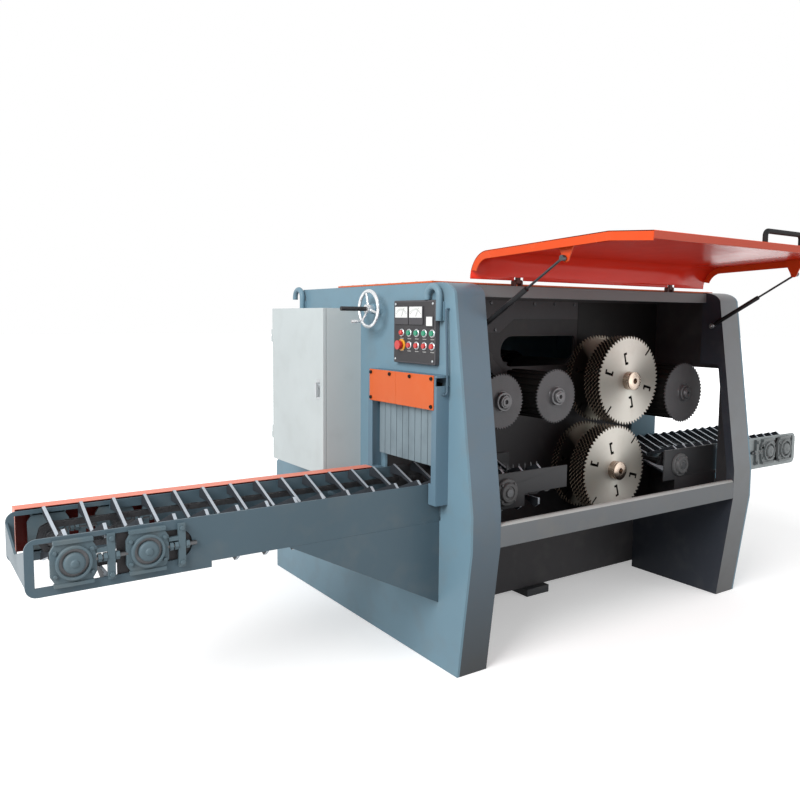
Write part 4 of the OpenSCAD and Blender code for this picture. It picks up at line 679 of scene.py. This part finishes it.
scale_r, scale_z = 50, 1488
swings = [radians(angle) for angle in range(-50, 51, 10)]
tick_places = [(0, y + scale_r * sin(swing), scale_z + scale_r * cos(swing))
               for y in meter_ys for swing in swings]
tick = block((dial_x - 0.4, -0.7, -4), (dial_x, 0.7, 4))
ticks = copies(tick, tick_places, [(-swing, 0, 0) for swing in swings] * 2)
needle = block((dial_x - 0.8, -0.6, 6), (dial_x - 0.2, 0.6, 48))
needles = copies(needle, [(0, y, dial_low) for y in meter_ys], [(0.5, 0, 0)] * 2)
settle("meter_marks", [ticks, needles], [panel_face])


# Handwheel and adjusting screw. A chromed wheel with three spokes and a crank turns the long black screw
# that sets the machine.
chrome = steel("Bright chrome", (226, 228, 230), 0.22, 0.75, stain=0.06)
dress("handwheel", chrome, 1.0)
thread_black = Finish("Black screw thread", {"Metallic": 0.8, "Roughness": 0.45})
thread_wave = thread_black.node("ShaderNodeTexWave", {"bands_direction": "X"},
                                {"Vector": thread_black.spot, "Scale": 79.0})
thread_black.set("Base Color", thread_black.blend(thread_wave, tint(22, 22, 23), tint(64, 64, 66)))
thread_black.bump(thread_wave, 0.0006)
dress("adjusting_screw", thread_black, 1.0)


# Conveyor rails. Deep side plates of both lanes, cut out for the bearings, joined by ties and end plates
# and seated in the body, darker inside it as painted shade. Gussets brace the infeed rails, dark sheets
# close the gap under the outfeed lane, and a comb of pins stands by the saws. Dark sheets behind the
# bearing slots are painted shade.
lane_y, shaft_z = 263, 720
tail_x, idler_x, drive_x, head_x = -1462, -1229, 375, 640
out_drive_x, out_idler_x, out_tail_x = 1625, 2464, 2641
rail_near, rail_far, rail_t, rail_low = 53, 473, 8, 641
rail_inner = rail_near + rail_t
# Inside the body the rail colour is painted shade.
rail_blue = enamel("Rail blue enamel", (76, 94, 104), dust=0.15, inner=(60, 61, 63),
                   outfeed=(154, 162, 163))
dress("conveyor_rails", rail_blue, 2.0)
slot_backs = []
# Dark sheets behind the bearing slots are painted shade, for the shaded inside of the windows.
for x, low, high in ((idler_x, -96, 180), (out_idler_x, -180, 88), (out_tail_x, -88, 116)):
    slot = oblong((x + low, shaft_z - 72), (x + high, shaft_z + 72))
    slot_backs += [cut_plate("y", rail_inner + 0.2, 2, slot, [circle((x, shaft_z), 24, 32)])]
settle("slot_backs", slot_backs, [chamber_black])
comb_y = 143
comb_places = [(x, comb_y, 0) for x in range(344, 650, 38)]
heads("comb_pins", "z", [(776, 4), (812, 4), (820, 1)], comb_places, dark_steel, 12)
comb_bar = block((330, comb_y - 4, 764), (668, comb_y + 4, 778))
settle("comb_bar", [comb_bar], [dark_steel], edge=1.0)
apron_t, skirt_t = 3, 6
apron = cut_plate("y", rail_near - apron_t, apron_t, oblong((1590, 585), (outfeed_x, 655)))
settle("outfeed_apron", [apron], [chamber_black], edge=0.8)
skirt_line = [(lane_y + a, z) for a, z in ((-223, 560), (223, 560), (223, 610), (177, 610), (0, 680),
                                           (-177, 610), (-223, 610))]
skirt = cut_plate("x", outfeed_x - skirt_t, skirt_t, skirt_line)
settle("outfeed_skirt", [skirt], [chamber_black], edge=1.0)
gusset_l, gusset_h = 704, 358
gusset_line = [(-gusset_l, rail_low), (0, rail_low), (0, rail_low - gusset_h)]
gussets = [cut_plate("y", y, rail_t, gusset_line) for y in (rail_near, rail_far - rail_t)]
settle("rail_gussets", gussets, [rail_blue], edge=1.5)
seat_w = 16
seats = [block((x, y, opening_low), (x + plate_t, y + seat_w, rail_low))
         for x in (0, outfeed_x) for y in (opening_near, opening_far - seat_w)]
settle("rail_seats", seats, [body_blue], edge=1.0)


# Conveyor bearings. Chamfered take-up plates with cast flange rings slide in the tail windows on threaded
# rods; round flange bearings sit elsewhere and two plain bushes carry the head shaft inside the rails.
def mirrored(shape):
    """The same piece on the far rail."""
    twin = shape.copy()
    for vert in twin.verts:
        vert.co.y = 2 * lane_y - vert.co.y
    bmesh.ops.recalc_face_normals(twin, faces=twin.faces[:])
    return twin


def hex_bolt(x, z, seat, head):
    return turned("y", (x, z), [(seat, head), (seat - 7, head), (seat - 8, head * 0.85)], 6)


ring_profile = [(39, 56), (27, 56), (25, 54), (25, 48), (27, 46), (37, 46), (37, 34), (25, 34), (21, 31),
                (19, 25), (18.5, 14), (15, 11), (14, 9), (14, 0.5)]
groove_shade_profile = [(37.2, 46), (36.6, 46), (36.6, 34), (37.2, 34)]
flange_profile = [(53, 62), (42, 62), (39, 59), (39, 47), (28, 45), (25, 42), (25, 30), (29, 28), (29, 22),
                  (25, 20), (25, 18.5)]
far_profile = [(rail_far, 62), (rail_far + 10, 62), (rail_far + 12, 60), (rail_far + 12, 18.5)]
bush_profile = [(rail_inner, 30), (73, 30), (75, 28), (75, 17.6), (rail_inner, 17.6)]
unit_face, strap_face, guide_face, rod_y = 39, 37, 33, 46
unit_half, unit_flat, unit_side, guide_out, guide_in = 70, 52, 40, 75, 63
units = []
dark_bits = []
for x, side in ((tail_x, 1), (idler_x, 1), (out_idler_x, -1), (out_tail_x, 0)):
    unit_low, unit_high = shaft_z - guide_out, shaft_z + guide_out
    corners = [(-unit_half, -unit_side), (-unit_flat, -unit_half), (unit_flat, -unit_half),
               (unit_half, -unit_side)]
    corners += [(-a, -b) for a, b in corners]
    near = [cut_plate("y", unit_face, rail_near - unit_face, [(x + a, shaft_z + b) for a, b in corners])]
    near += [turned("y", (x, shaft_z), ring_profile)]
    near += [block((x - 60, guide_face, shaft_z + guide_in), (x + 60, rail_near, unit_high)),
             block((x - 60, guide_face, unit_low), (x + 60, rail_near, shaft_z - guide_in))]
    near += [hex_bolt(x + a, shaft_z + b, unit_face, 7) for a in (-56, 56) for b in (-38, 38)]
    # A dark ring at the bottom of each flange groove is painted shade.
    bits = [turned("y", (x, shaft_z), groove_shade_profile, closed=True)]
    if side:
        low, high = sorted((x + side * 66, x + side * 168))
        bits += [turned("x", (rod_y, shaft_z), [(low, 8), (high, 8)], 16)]
        for at in (80, 97, 136):
            nut = x + side * at
            near += [turned("x", (rod_y, shaft_z), [(nut - 6, 15), (nut + 6, 15)], 6)]
        strap, key = x + side * 116, x + side * 72
        near += [block((strap - 12, strap_face, unit_low), (strap + 12, rail_near, unit_high))]
        near += [hex_bolt(strap, shaft_z + b, strap_face, 9) for b in (-60, 60)]
        near += [block((key - 6, unit_face, shaft_z + 18), (key + 38, rail_near, shaft_z + 32))]
    units += near + [mirrored(shape) for shape in near]
    dark_bits += bits + [mirrored(shape) for shape in bits]
for x in (drive_x, out_drive_x):
    units += [turned("y", (x, shaft_z), flange_profile)]
    units += [hex_bolt(x + a, shaft_z + b, unit_face, 7) for a in (-37, 37) for b in (-37, 37)]
    units += [turned("y", (x, shaft_z), far_profile)]
bush = turned("y", (head_x, shaft_z), bush_profile, 32, True)
units += [mirrored(bush), bush]
cast_blue = enamel("Bearing blue enamel", (86, 103, 111), gloss=0.45, dust=0.3, inner=(92, 93, 94),
                   outfeed=(126, 131, 132))
settle("bearing_units", units, [cast_blue], ["conveyor_bearings"], edge=1.2)
settle("bearing_screws", dark_bits, [dark_steel])


# Conveyor shafts. Turned steel shafts with two sprockets each, oiled and darkened by sawdust.
# The drive shafts run on through the chamber wall to their gearboxes.
for shaft in ("infeed_tail", "infeed_idler", "infeed_drive", "infeed_head", "outfeed_drive",
              "outfeed_idler", "outfeed_tail"):
    dress(shaft + "_shaft", dark_steel, 1.0)


# Conveyor chains. Four loops of heavy roller chain: oval side plates, rollers and riveted pins.
# Every second link is the outer one.
pitch_r, link_r, strand_y = 44, 10, 120
infeed_run, outfeed_run = head_x - tail_x, out_tail_x - out_drive_x


def loop_place(s, first_x, run):
    """The shaft point under a place on a chain loop, and the turn of the loop there."""
    bend = pi * pitch_r
    if s < run:
        return first_x + s, 0.0
    if s < run + bend:
        return first_x + run, (s - run) / pitch_r
    if s < 2 * run + bend:
        return first_x + run - (s - run - bend), pi
    return first_x, pi + (s - 2 * run - bend) / pitch_r


def loop_step(run, count):
    """The length of one of the equal steps round a chain loop."""
    return (2 * run + 2 * pi * pitch_r) / count


def link_plate(inner, outer, pitch):
    ends = [pi * i / 8 for i in range(9)]
    half = pitch / 2
    outline = [(half + link_r * sin(t), pitch_r - link_r * cos(t)) for t in ends]
    outline += [(-half - link_r * sin(t), pitch_r + link_r * cos(t)) for t in ends]
    return [cut_plate("y", start, outer - inner, outline) for start in (inner, -outer)]


chain_steel = steel("Oiled chain steel", (70, 70, 72), 0.5, 0.9)
chain_shapes = []
for first_x, run, count in ((tail_x, infeed_run, 118), (out_drive_x, outfeed_run, 60)):
    pitch = loop_step(run, count)
    ends = (-pitch / 2, pitch / 2)
    rollers = [turned("y", (end, pitch_r), [(-4.4, 9), (4.4, 9)], 12) for end in ends]
    pins = [turned("y", (end, pitch_r), [(-13, 4), (13, 4)], 10) for end in ends]
    inner_link = merged(link_plate(4.5, 8.2, pitch) + rollers)
    outer_link = merged(link_plate(8.4, 11.5, pitch) + pins)
    for kind, template in enumerate((inner_link, outer_link)):
        stops = [loop_place((i + 0.5) * pitch, first_x, run) for i in range(kind, count, 2)]
        places = [(x, lane_y + strand, shaft_z) for x, turn in stops for strand in (-strand_y, strand_y)]
        turns = [(0, turn, 0) for x, turn in stops for strand in (-strand_y, strand_y)]
        chain_shapes.append(copies(template, places, turns))
settle("roller_chains", chain_shapes, [chain_steel], ["conveyor_chains"])


# Conveyor slats. Pairs of flame-cut steel wings bolted on the chains make a trough for the log.
# Their edges are pale, and their sides are dark as painted shade.
wing_t, slat_phase = 12, 0.92
wing_line = [(1, 20), (109, 56), (199, 56), (199, 86), (177, 102), (1, 32)]
far_wing_line = [(-y, z) for y, z in wing_line]
slat_shaded_steel = steel("Slat steel in painted shade", (58, 62, 68), 0.55, 0.3, stain=0.4)
slat_pale_edge = steel("Pale slat edge", (176, 184, 192), 0.42, 0.35, stain=0.3)
slat_shapes = []
for first_x, run, count in ((tail_x, infeed_run, 39), (out_drive_x, outfeed_run, 30)):
    step = loop_step(run, count)
    wings = merged([cut_plate("x", -wing_t / 2, wing_t, line) for line in (wing_line, far_wing_line)])
    stops = [loop_place((i + slat_phase) * step, first_x, run) for i in range(count)]
    slats = copies(wings, [(x, lane_y, shaft_z) for x, turn in stops], [(0, turn, 0) for x, turn in stops])
    # Edge faces take the pale steel; the wing sides keep the dark steel, painted shade.
    for face in slats.faces:
        if abs(face.normal.x) < 0.7:
            face.material_index = 1
    slat_shapes.append(slats)
settle("slat_wings", slat_shapes, [slat_shaded_steel, slat_pale_edge], ["conveyor_slats"], edge=1.0)


# Chain cover. A folded sheet channel along the far infeed rail keeps sawdust off the chain. Its orange
# is pale salmon on the outside, and dark red inside as painted shade.
cover_start, cover_end, cover_far, cover_low, cover_high, cover_t = -1572, -70, 540, 640, 812, 3
cover_side, cover_lid = cover_far - cover_t, cover_high - cover_t
cover_sheets = [block((cover_start, rail_far, cover_lid), (cover_end, cover_far, cover_high)),
                block((cover_start, cover_side, cover_low), (cover_end, cover_far, cover_lid))]
cover_sheets += [block((x, rail_far, cover_low), (x + cover_t, cover_side, cover_lid))
                 for x in (cover_start, cover_end - cover_t)]
# Faces towards the rail and downwards take the dark red, painted shade.
for sheet in cover_sheets:
    for face in sheet.faces:
        face.material_index = 1 if face.normal.y < -0.5 or face.normal.z < -0.5 else 0
cover_salmon = enamel("Cover salmon enamel", (222, 128, 106), gloss=0.4, dust=0.4,
                      dust_colour=(226, 160, 142))
cover_inner_shade = enamel("Cover inner shade enamel", (96, 24, 18), gloss=0.45, dust=0.1)
settle("chain_cover_sheets", cover_sheets, [cover_salmon, cover_inner_shade], ["chain_cover"],
       edge=0.8)


# Saw arbors and drives. Each overhung arbor is turned in one piece with its collars, rear flange and
# grooved pulley; a bored nut clamps the blades. The housings, motors and belts stand behind the wall.
arbors = (("upper", 1321, 1181.01), ("lower", 1231, 714))
blade_ys, blade_t = (163, 186, 209, 232, 255, 362, 385), 4
seat_r, spacer_r, pulley_r, groove_r = 45, 62, 110, 98
arbor_line = [(149, 0.5), (149, 15), (119, 15), (119, 40), (122, 48), (128, 48), (129, 46), (133, 46),
              (134, 48), (163, 48), (163, seat_r)]
for near, far in zip(blade_ys, blade_ys[1:]):
    arbor_line += [(near + blade_t, seat_r), (near + blade_t, spacer_r), (far, spacer_r), (far, seat_r)]
arbor_line += [(389, seat_r), (389, 80), (408, 80), (411, 77), (411, seat_r)]
arbor_line += [(1060, seat_r), (1060, pulley_r)]
for groove in range(1066, 1163, 24):
    arbor_line += [(groove, pulley_r), (groove + 6, groove_r)]
    arbor_line += [(groove + 12, groove_r), (groove + 18, pulley_r)]
arbor_line += [(1190, pulley_r), (1190, 0.5)]
nose_steel = steel("Arbor nut steel", (184, 168, 154), 0.22, stain=0.25)
for level, x, z in arbors:
    settle(f"{level}_arbor_turned", [turned("y", (x, z), arbor_line, 64)], [nose_steel],
           [f"{level}_arbor"], body=f"{level}_spindle")
    dress(f"{level}_motor_pulley", dark_steel, 1.0)
dress("arbor_housings", frame_grey, 2.0)
dress("drive_motors", frame_grey, 2.0)
dress("drive_belts", rubber, 1.0)


# Saw blades. Laser-cut and ground steel discs with leaned teeth, two rim slots and four hooked slots
# that let the rim grow with heat. Five stand near the service side and two at the far side of the cut.
blade_r, root_r, bore_r, tooth_count = 235, 219, 46, 66
rim_r, rim_half, hook_w = 183, 5.5, 13
tooth_turn = tau / tooth_count


def spun(points, turn):
    return [(a * cos(turn) - b * sin(turn), a * sin(turn) + b * cos(turn)) for a, b in points]


blade_line = []
for i in range(tooth_count):
    blade_line += spun([(blade_r, 0)], i * tooth_turn)
    blade_line += spun([(blade_r - 8, 0)], (i + 0.1) * tooth_turn)
    if i in (8, 41):
        rim_slot = [(root_r, -rim_half), (rim_r, -rim_half), (rim_r, rim_half), (root_r, rim_half)]
        blade_line += spun(rim_slot, (i + 0.3) * tooth_turn)
    else:
        blade_line += spun([(root_r, 0)], (i + 0.22) * tooth_turn)
        blade_line += spun([(root_r + 1, 0)], (i + 0.42) * tooth_turn)
    blade_line += spun([(blade_r - 5, 0)], (i + 0.72) * tooth_turn)
blade_holes = []
for angle, low, high in ((105, 85, 150), (165, 127, 190), (285, 85, 150), (345, 127, 190)):
    hook = [(low, -18), (low + hook_w, -18), (low + hook_w, -6), (high - hook_w, -6), (high - hook_w, -18),
            (high, -18), (high, 7), (low, 7)]
    blade_holes.append(spun(hook, radians(angle)))
blade_holes.append(circle((0, 0), bore_r, 48))


def ground_steel(name, x, z):
    """Steel ground in circles: fine rings, and a soft bow tie of brighter sectors round the arbor as a
    painted highlight.

    Only the nearest face keeps its own colour; edges and inner blades are black as painted shade, and the
    far pair is painted shade outside the bright sectors.
    """
    nearest_reach, far_reach = 0.6165, 0.46
    finish = Finish(name, {"Metallic": 0.25, "Specular IOR Level": 0.3})
    across = finish.place("X") - (x - middle_x) / METRE
    above = finish.place("Z") - z / METRE
    square = across * across + above * above + 0.0004
    # The bow tie is a painted highlight, brighter in two opposite sectors.
    bow = (across * across - above * above) / square * -0.9 - across * above / square * 0.3
    radius = finish.node("ShaderNodeMath", {"operation": "SQRT"}, {0: square})
    rings = finish.node("ShaderNodeTexNoise", {"noise_dimensions": "1D"},
                        {"W": radius, "Scale": 900.0, "Detail": 2.0})
    stain = ((finish.noise(14.0, 5.0) - 0.5) * 3).held() * 0.25
    pale = finish.blend((bow * 0.5 + 0.5).held(), tint(118, 116, 109), tint(228, 226, 217))
    nearest_face = finish.blend(stain, pale, tint(160, 148, 130))
    # Behind the nearest face the steel is painted shade.
    behind = ((finish.place("Y") + nearest_reach) / 0.003).held()
    far_pair = ((finish.place("Y") + far_reach) / 0.02).held() * ((bow - 0.25) * 1.6).held()
    painted_shade = finish.blend(far_pair, tint(26, 23, 21), tint(190, 184, 168))
    finish.set("Base Color", finish.blend(behind, nearest_face, painted_shade))
    finish.set("Roughness", 0.38 + rings * 0.15)
    finish.bump(rings, 0.00004)
    return finish


tooth_steel = steel("Tooth edge steel", (150, 136, 120), 0.45, 0.4, stain=0.5)
for level, x, z in arbors:
    disc = cut_plate("y", 0, blade_t, blade_line, blade_holes)
    stack = copies(disc, [(x, y, z) for y in blade_ys])
    for face in stack.faces:
        middle = face.calc_center_median()
        toothed = abs(face.normal.y) < 0.5 and hypot(middle.x - x, middle.z - z) > root_r - 4
        face.material_index = 1 if toothed else 0
    settle(f"{level}_blades_cut", [stack], [ground_steel(f"Ground steel {level}", x, z), tooth_steel],
           [f"{level}_blades"], body=f"{level}_spindle")


# Press rollers. A ribbed drum with a fine-toothed end disc, stepped hub and nut turns on each swinging
# arm and holds the timber down. Discs are dark grey, drums black.
roller_dark = steel("Roller disc steel", (84, 84, 86), 0.55, 0.2, stain=0.2)
hub_grey = steel("Roller hub steel", (100, 100, 102), 0.4, 0.5)
drum_black = steel("Black drum steel", (24, 23, 22), 0.6, 0.3)
disc_y, disc_t, drum_l, point_count, rib_count = 125, 8, 290, 50, 20
hub_line = [(126, 50), (123, 48), (123, 45), (108, 44), (106, 42), (106, 36), (110, 35), (110, 31),
            (99, 30), (96, 28), (96, 22), (93, 20), (93, 10), (104, 9), (104, 0.5)]
axle_line = [(420, 20), (466, 20), (467, 18)]
for i, (x, z, r) in enumerate(((405, 1123, 130), (750, 1130, 132), (1738, 1101, 165)), 1):
    rib_top, rib_root = r - 14, r - 22
    points = []
    for k in range(point_count):
        points += spun([(r, 0)], tau * k / point_count)
        points += spun([(r - 11, 0)], tau * (k + 0.3) / point_count)
    ribs = []
    for k in range(rib_count):
        for share, reach in ((0.0, rib_top), (0.45, rib_top), (0.5, rib_root), (0.95, rib_root)):
            ribs += spun([(reach, 0)], tau * (k + share) / rib_count)
    disc = cut_plate("y", disc_y, disc_t, [(x + a, z + b) for a, b in points])
    drum = cut_plate("y", disc_y + disc_t, drum_l, [(x + a, z + b) for a, b in ribs])
    axle = turned("y", (x, z), axle_line, 24)
    hub = turned("y", (x, z), hub_line)
    roller = f"press_roller_{i}"
    settle(roller + "_disc", [disc], [roller_dark], [roller], edge=0.5, body=roller)
    settle(roller + "_hub", [hub], [hub_grey], body=roller)
    settle(roller + "_drum", [drum, axle], [drum_black], edge=0.8, body=roller)
    dress(f"press_arm_{i}", frame_grey, 2.0)


# Hood. One rolled sheet with a round back, side flanges and a hem on the lip, orange outside and deep
# glossy red inside. Two leaves hinge it to the beam; brackets take the struts and a bent tube lifts it.
hood_left, hood_right, hood_t = 165, 1801, 3
back_z, back_rise, crown_rise = 1670, 114, 23
crown_y, crown_z, lip_y, lip_z = -676, back_z + back_rise + crown_rise, -867, 1793
flange_w, flange_t, flange_low = 34, 4, 1700
hinge_xs, hinge_y, hinge_z, notch_half, notch_top = (443, 1523), 84, 1664, 28, 1680


def round_back(trim):
    """The quarter round at the back of the hood, drawn in by a trim."""
    return arc((shoulder_y, back_z), (nose_y - shoulder_y - trim, back_rise - trim), nose_turns)


hood_line = round_back(0)
hood_line += [(shoulder_y + (crown_y - shoulder_y) * i / 4, back_z + back_rise + crown_rise * i / 4)
              for i in range(1, 5)]
hood_line += [(lip_y, lip_z)]
notches = [x + side * notch_half for x in hinge_xs for side in (-1, 1)]
hood_xs = [hood_left] + notches + [hood_right]


def hood_sheet():
    """The rolled sheet as a skin, notched for the hinges, with its outside up."""
    shape = bmesh.new()
    rows = [[shape.verts.new((x, y, z)) for x in hood_xs] for y, z in hood_line]
    for row, (low, high) in enumerate(zip(rows, rows[1:])):
        for column in range(len(hood_xs) - 1):
            if column in (1, 3) and hood_line[row][1] < notch_top:
                continue
            shape.faces.new((high[column], high[column + 1], low[column + 1], low[column]))
    return shape


def hood_flange(x):
    outer = [(y, z) for y, z in hood_line if z > flange_low]
    inner = [(y, z) for y, z in round_back(flange_w) if z > flange_low]
    inner += [(crown_y, crown_z - flange_w), (lip_y + flange_t, lip_z - flange_w)]
    return cut_plate("x", x, flange_t, outer + inner[::-1])


hood_orange = enamel("Hood orange enamel", (218, 78, 34), gloss=0.25, dust=0.06,
                     dust_colour=(220, 140, 100))
hood_red = enamel("Hood inner red enamel", (226, 50, 30), gloss=0.22, dust=0.06,
                  dust_colour=(190, 80, 50))
hem_orange = enamel("Hood hem enamel", (184, 62, 32), gloss=0.3, dust=0.06, dust_colour=(150, 90, 50))
settle("hood_sheet", [hood_sheet()], [hood_orange, hood_red], ["hood"], body="hood",
       wall=hood_t, lining=1)
flanges = [hood_flange(x) for x in (hood_left, hood_right - flange_t)]
settle("hood_flanges", flanges, [hood_orange], edge=1.0, body="hood")
hem = block((hood_left, lip_y, lip_z - 28), (hood_right, lip_y + hood_t, lip_z - 1))
settle("hood_hem", [hem], [hem_orange], edge=1.0, body="hood")
lug_x, lug_y, lug_z, lug_r, lug_t = 196, -448, 1728, 16, 6
lug_turns = [pi + pi * i / 12 for i in range(13)]
lug_line = arc((lug_y, lug_z), (lug_r, lug_r), lug_turns)
lug_line += [(lug_y + 50, 1794), (lug_y - 50, 1798)]
lugs = [cut_plate("x", x, lug_t, lug_line) for x in (lug_x, plate_l - lug_x - lug_t)]
settle("strut_brackets", lugs, [hood_orange], edge=1.0, body="hood")
leaf_half, knuckle_r = 12, 11
leaves = []
for x in hinge_xs:
    leaf_low, leaf_high = x - leaf_half, x + leaf_half
    leaves += [turned("x", (hinge_y, hinge_z), [(leaf_low, knuckle_r), (leaf_high, knuckle_r)], 32)]
    leaves += [block((leaf_low, hinge_y - knuckle_r, hinge_z), (leaf_high, hinge_y, flange_low))]
settle("hinge_leaves", leaves, [lug_brown], edge=1.0, body="hood")
grip_x, grip_y, grip_z, grip_bend = 858, -835, 1822, 18
grip_path = [(grip_x, grip_y, 1790), (grip_x, grip_y, grip_z)]
grip_path += [(grip_x + grip_bend - grip_bend * cos(t), grip_y, grip_z + grip_bend * sin(t))
              for t in nose_turns[4::4]]
grip_path += [(plate_l - x, y, z) for x, y, z in grip_path[::-1]]
settle("hood_handle", [bent_rod(grip_path, 10, 20)], [rubber], body="hood")


# Gas struts. A black tube on each column and a dark rod on each bracket slide into one another and
# hold the hood open. The eye at the foot of the tube is bare zinc.
tube_black = enamel("Strut black paint", (28, 28, 30), gloss=0.3, dust=0.05)
strut_foot = Vector(((stud_y - middle_y) / METRE, stud_z / METRE))
eye_reach = 0.045
for end in ("infeed", "outfeed"):
    dress(f"strut_cylinder_{end}", tube_black, 1.0, zinc,
          lambda middle: (middle.yz - strut_foot).length < eye_reach)
    dress(f"strut_rod_{end}", dark_steel, 0.6)


# Studio. A pale floor, a white surround, a soft lamp from the left and a weak one from the right, with
# the camera at the photograph's place, in metres. The surround is white to the camera and in
# reflections, and softer as a light.
sky_light, sky_seen = 0.6, 1.0
sky = Finish("Studio", {"Color": (1, 1, 1, 1)}, surround=True)
sky.set("Strength", sky_light + sky.viewed() * (sky_seen - sky_light))
bpy.context.scene.world = sky.material

floor_half, floor_z = 60, -0.001
floor_mesh = bpy.data.meshes.new("floor")
floor_corners = oblong((-floor_half, -floor_half), (floor_half, floor_half))
floor_mesh.from_pydata([(x, y, floor_z) for x, y in floor_corners], [], [(0, 1, 2, 3)])
floor = put("floor", floor_mesh)
floor_white = Finish("Pale floor", {"Roughness": 0.9, "Specular IOR Level": 0.1, "Emission Strength": 1.0})
floor_cloud = floor_white.noise(1.5, 2.0)
east = floor_white.place("X")
north = floor_white.place("Y")
reach = floor_white.node("ShaderNodeMath", {"operation": "SQRT"}, {0: east * east + north * north})
far_share = ((reach - 2.5) / 3.5).held()
viewed = floor_white.viewed()
pale_floor = floor_white.blend(floor_cloud, tint(236, 236, 236), tint(242, 242, 242))
floor_white.set("Base Color", floor_white.blend(viewed, tint(186, 186, 186), pale_floor))
floor_glow = floor_white.blend(far_share, (0.35, 0.35, 0.35, 1), (1, 1, 1, 1))
floor_white.set("Emission Color", floor_white.blend(viewed, (0, 0, 0, 1), floor_glow))
floor_mesh.materials.append(floor_white.material)


def soft_lamp(name, place, aim, size, power):
    data = bpy.data.lights.new(name, "AREA")
    data.size = size
    data.energy = power
    lamp = put(name, data)
    lamp.location = place
    lamp.rotation_euler = (Vector(aim) - Vector(place)).to_track_quat("-Z", "Y").to_euler()


soft_lamp("Key lamp", (-7.0, -3.0, 5.0), (0, 0, 0.8), 4.0, 580)
soft_lamp("Fill lamp", (3.0, -6.5, 2.2), (0.4, -0.5, 0.9), 5.0, 110)

camera_data = bpy.data.cameras.new("Camera")
camera_data.lens = 34.574
camera_data.sensor_width = 36
camera_data.shift_y = -0.0151
camera = put("Camera", camera_data)
camera.matrix_world = Matrix.Translation((-2.9228, -3.2879, 1.5))
yaw, dip, roll = 55.933, 5.196, -0.439
for axis, degrees in (("Z", yaw - 90), ("X", 90 - dip), ("Z", -roll)):
    camera.matrix_world = camera.matrix_world @ Matrix.Rotation(radians(degrees), 4, axis)
bpy.context.scene.camera = camera

bpy.context.scene.view_settings.view_transform = "Standard"
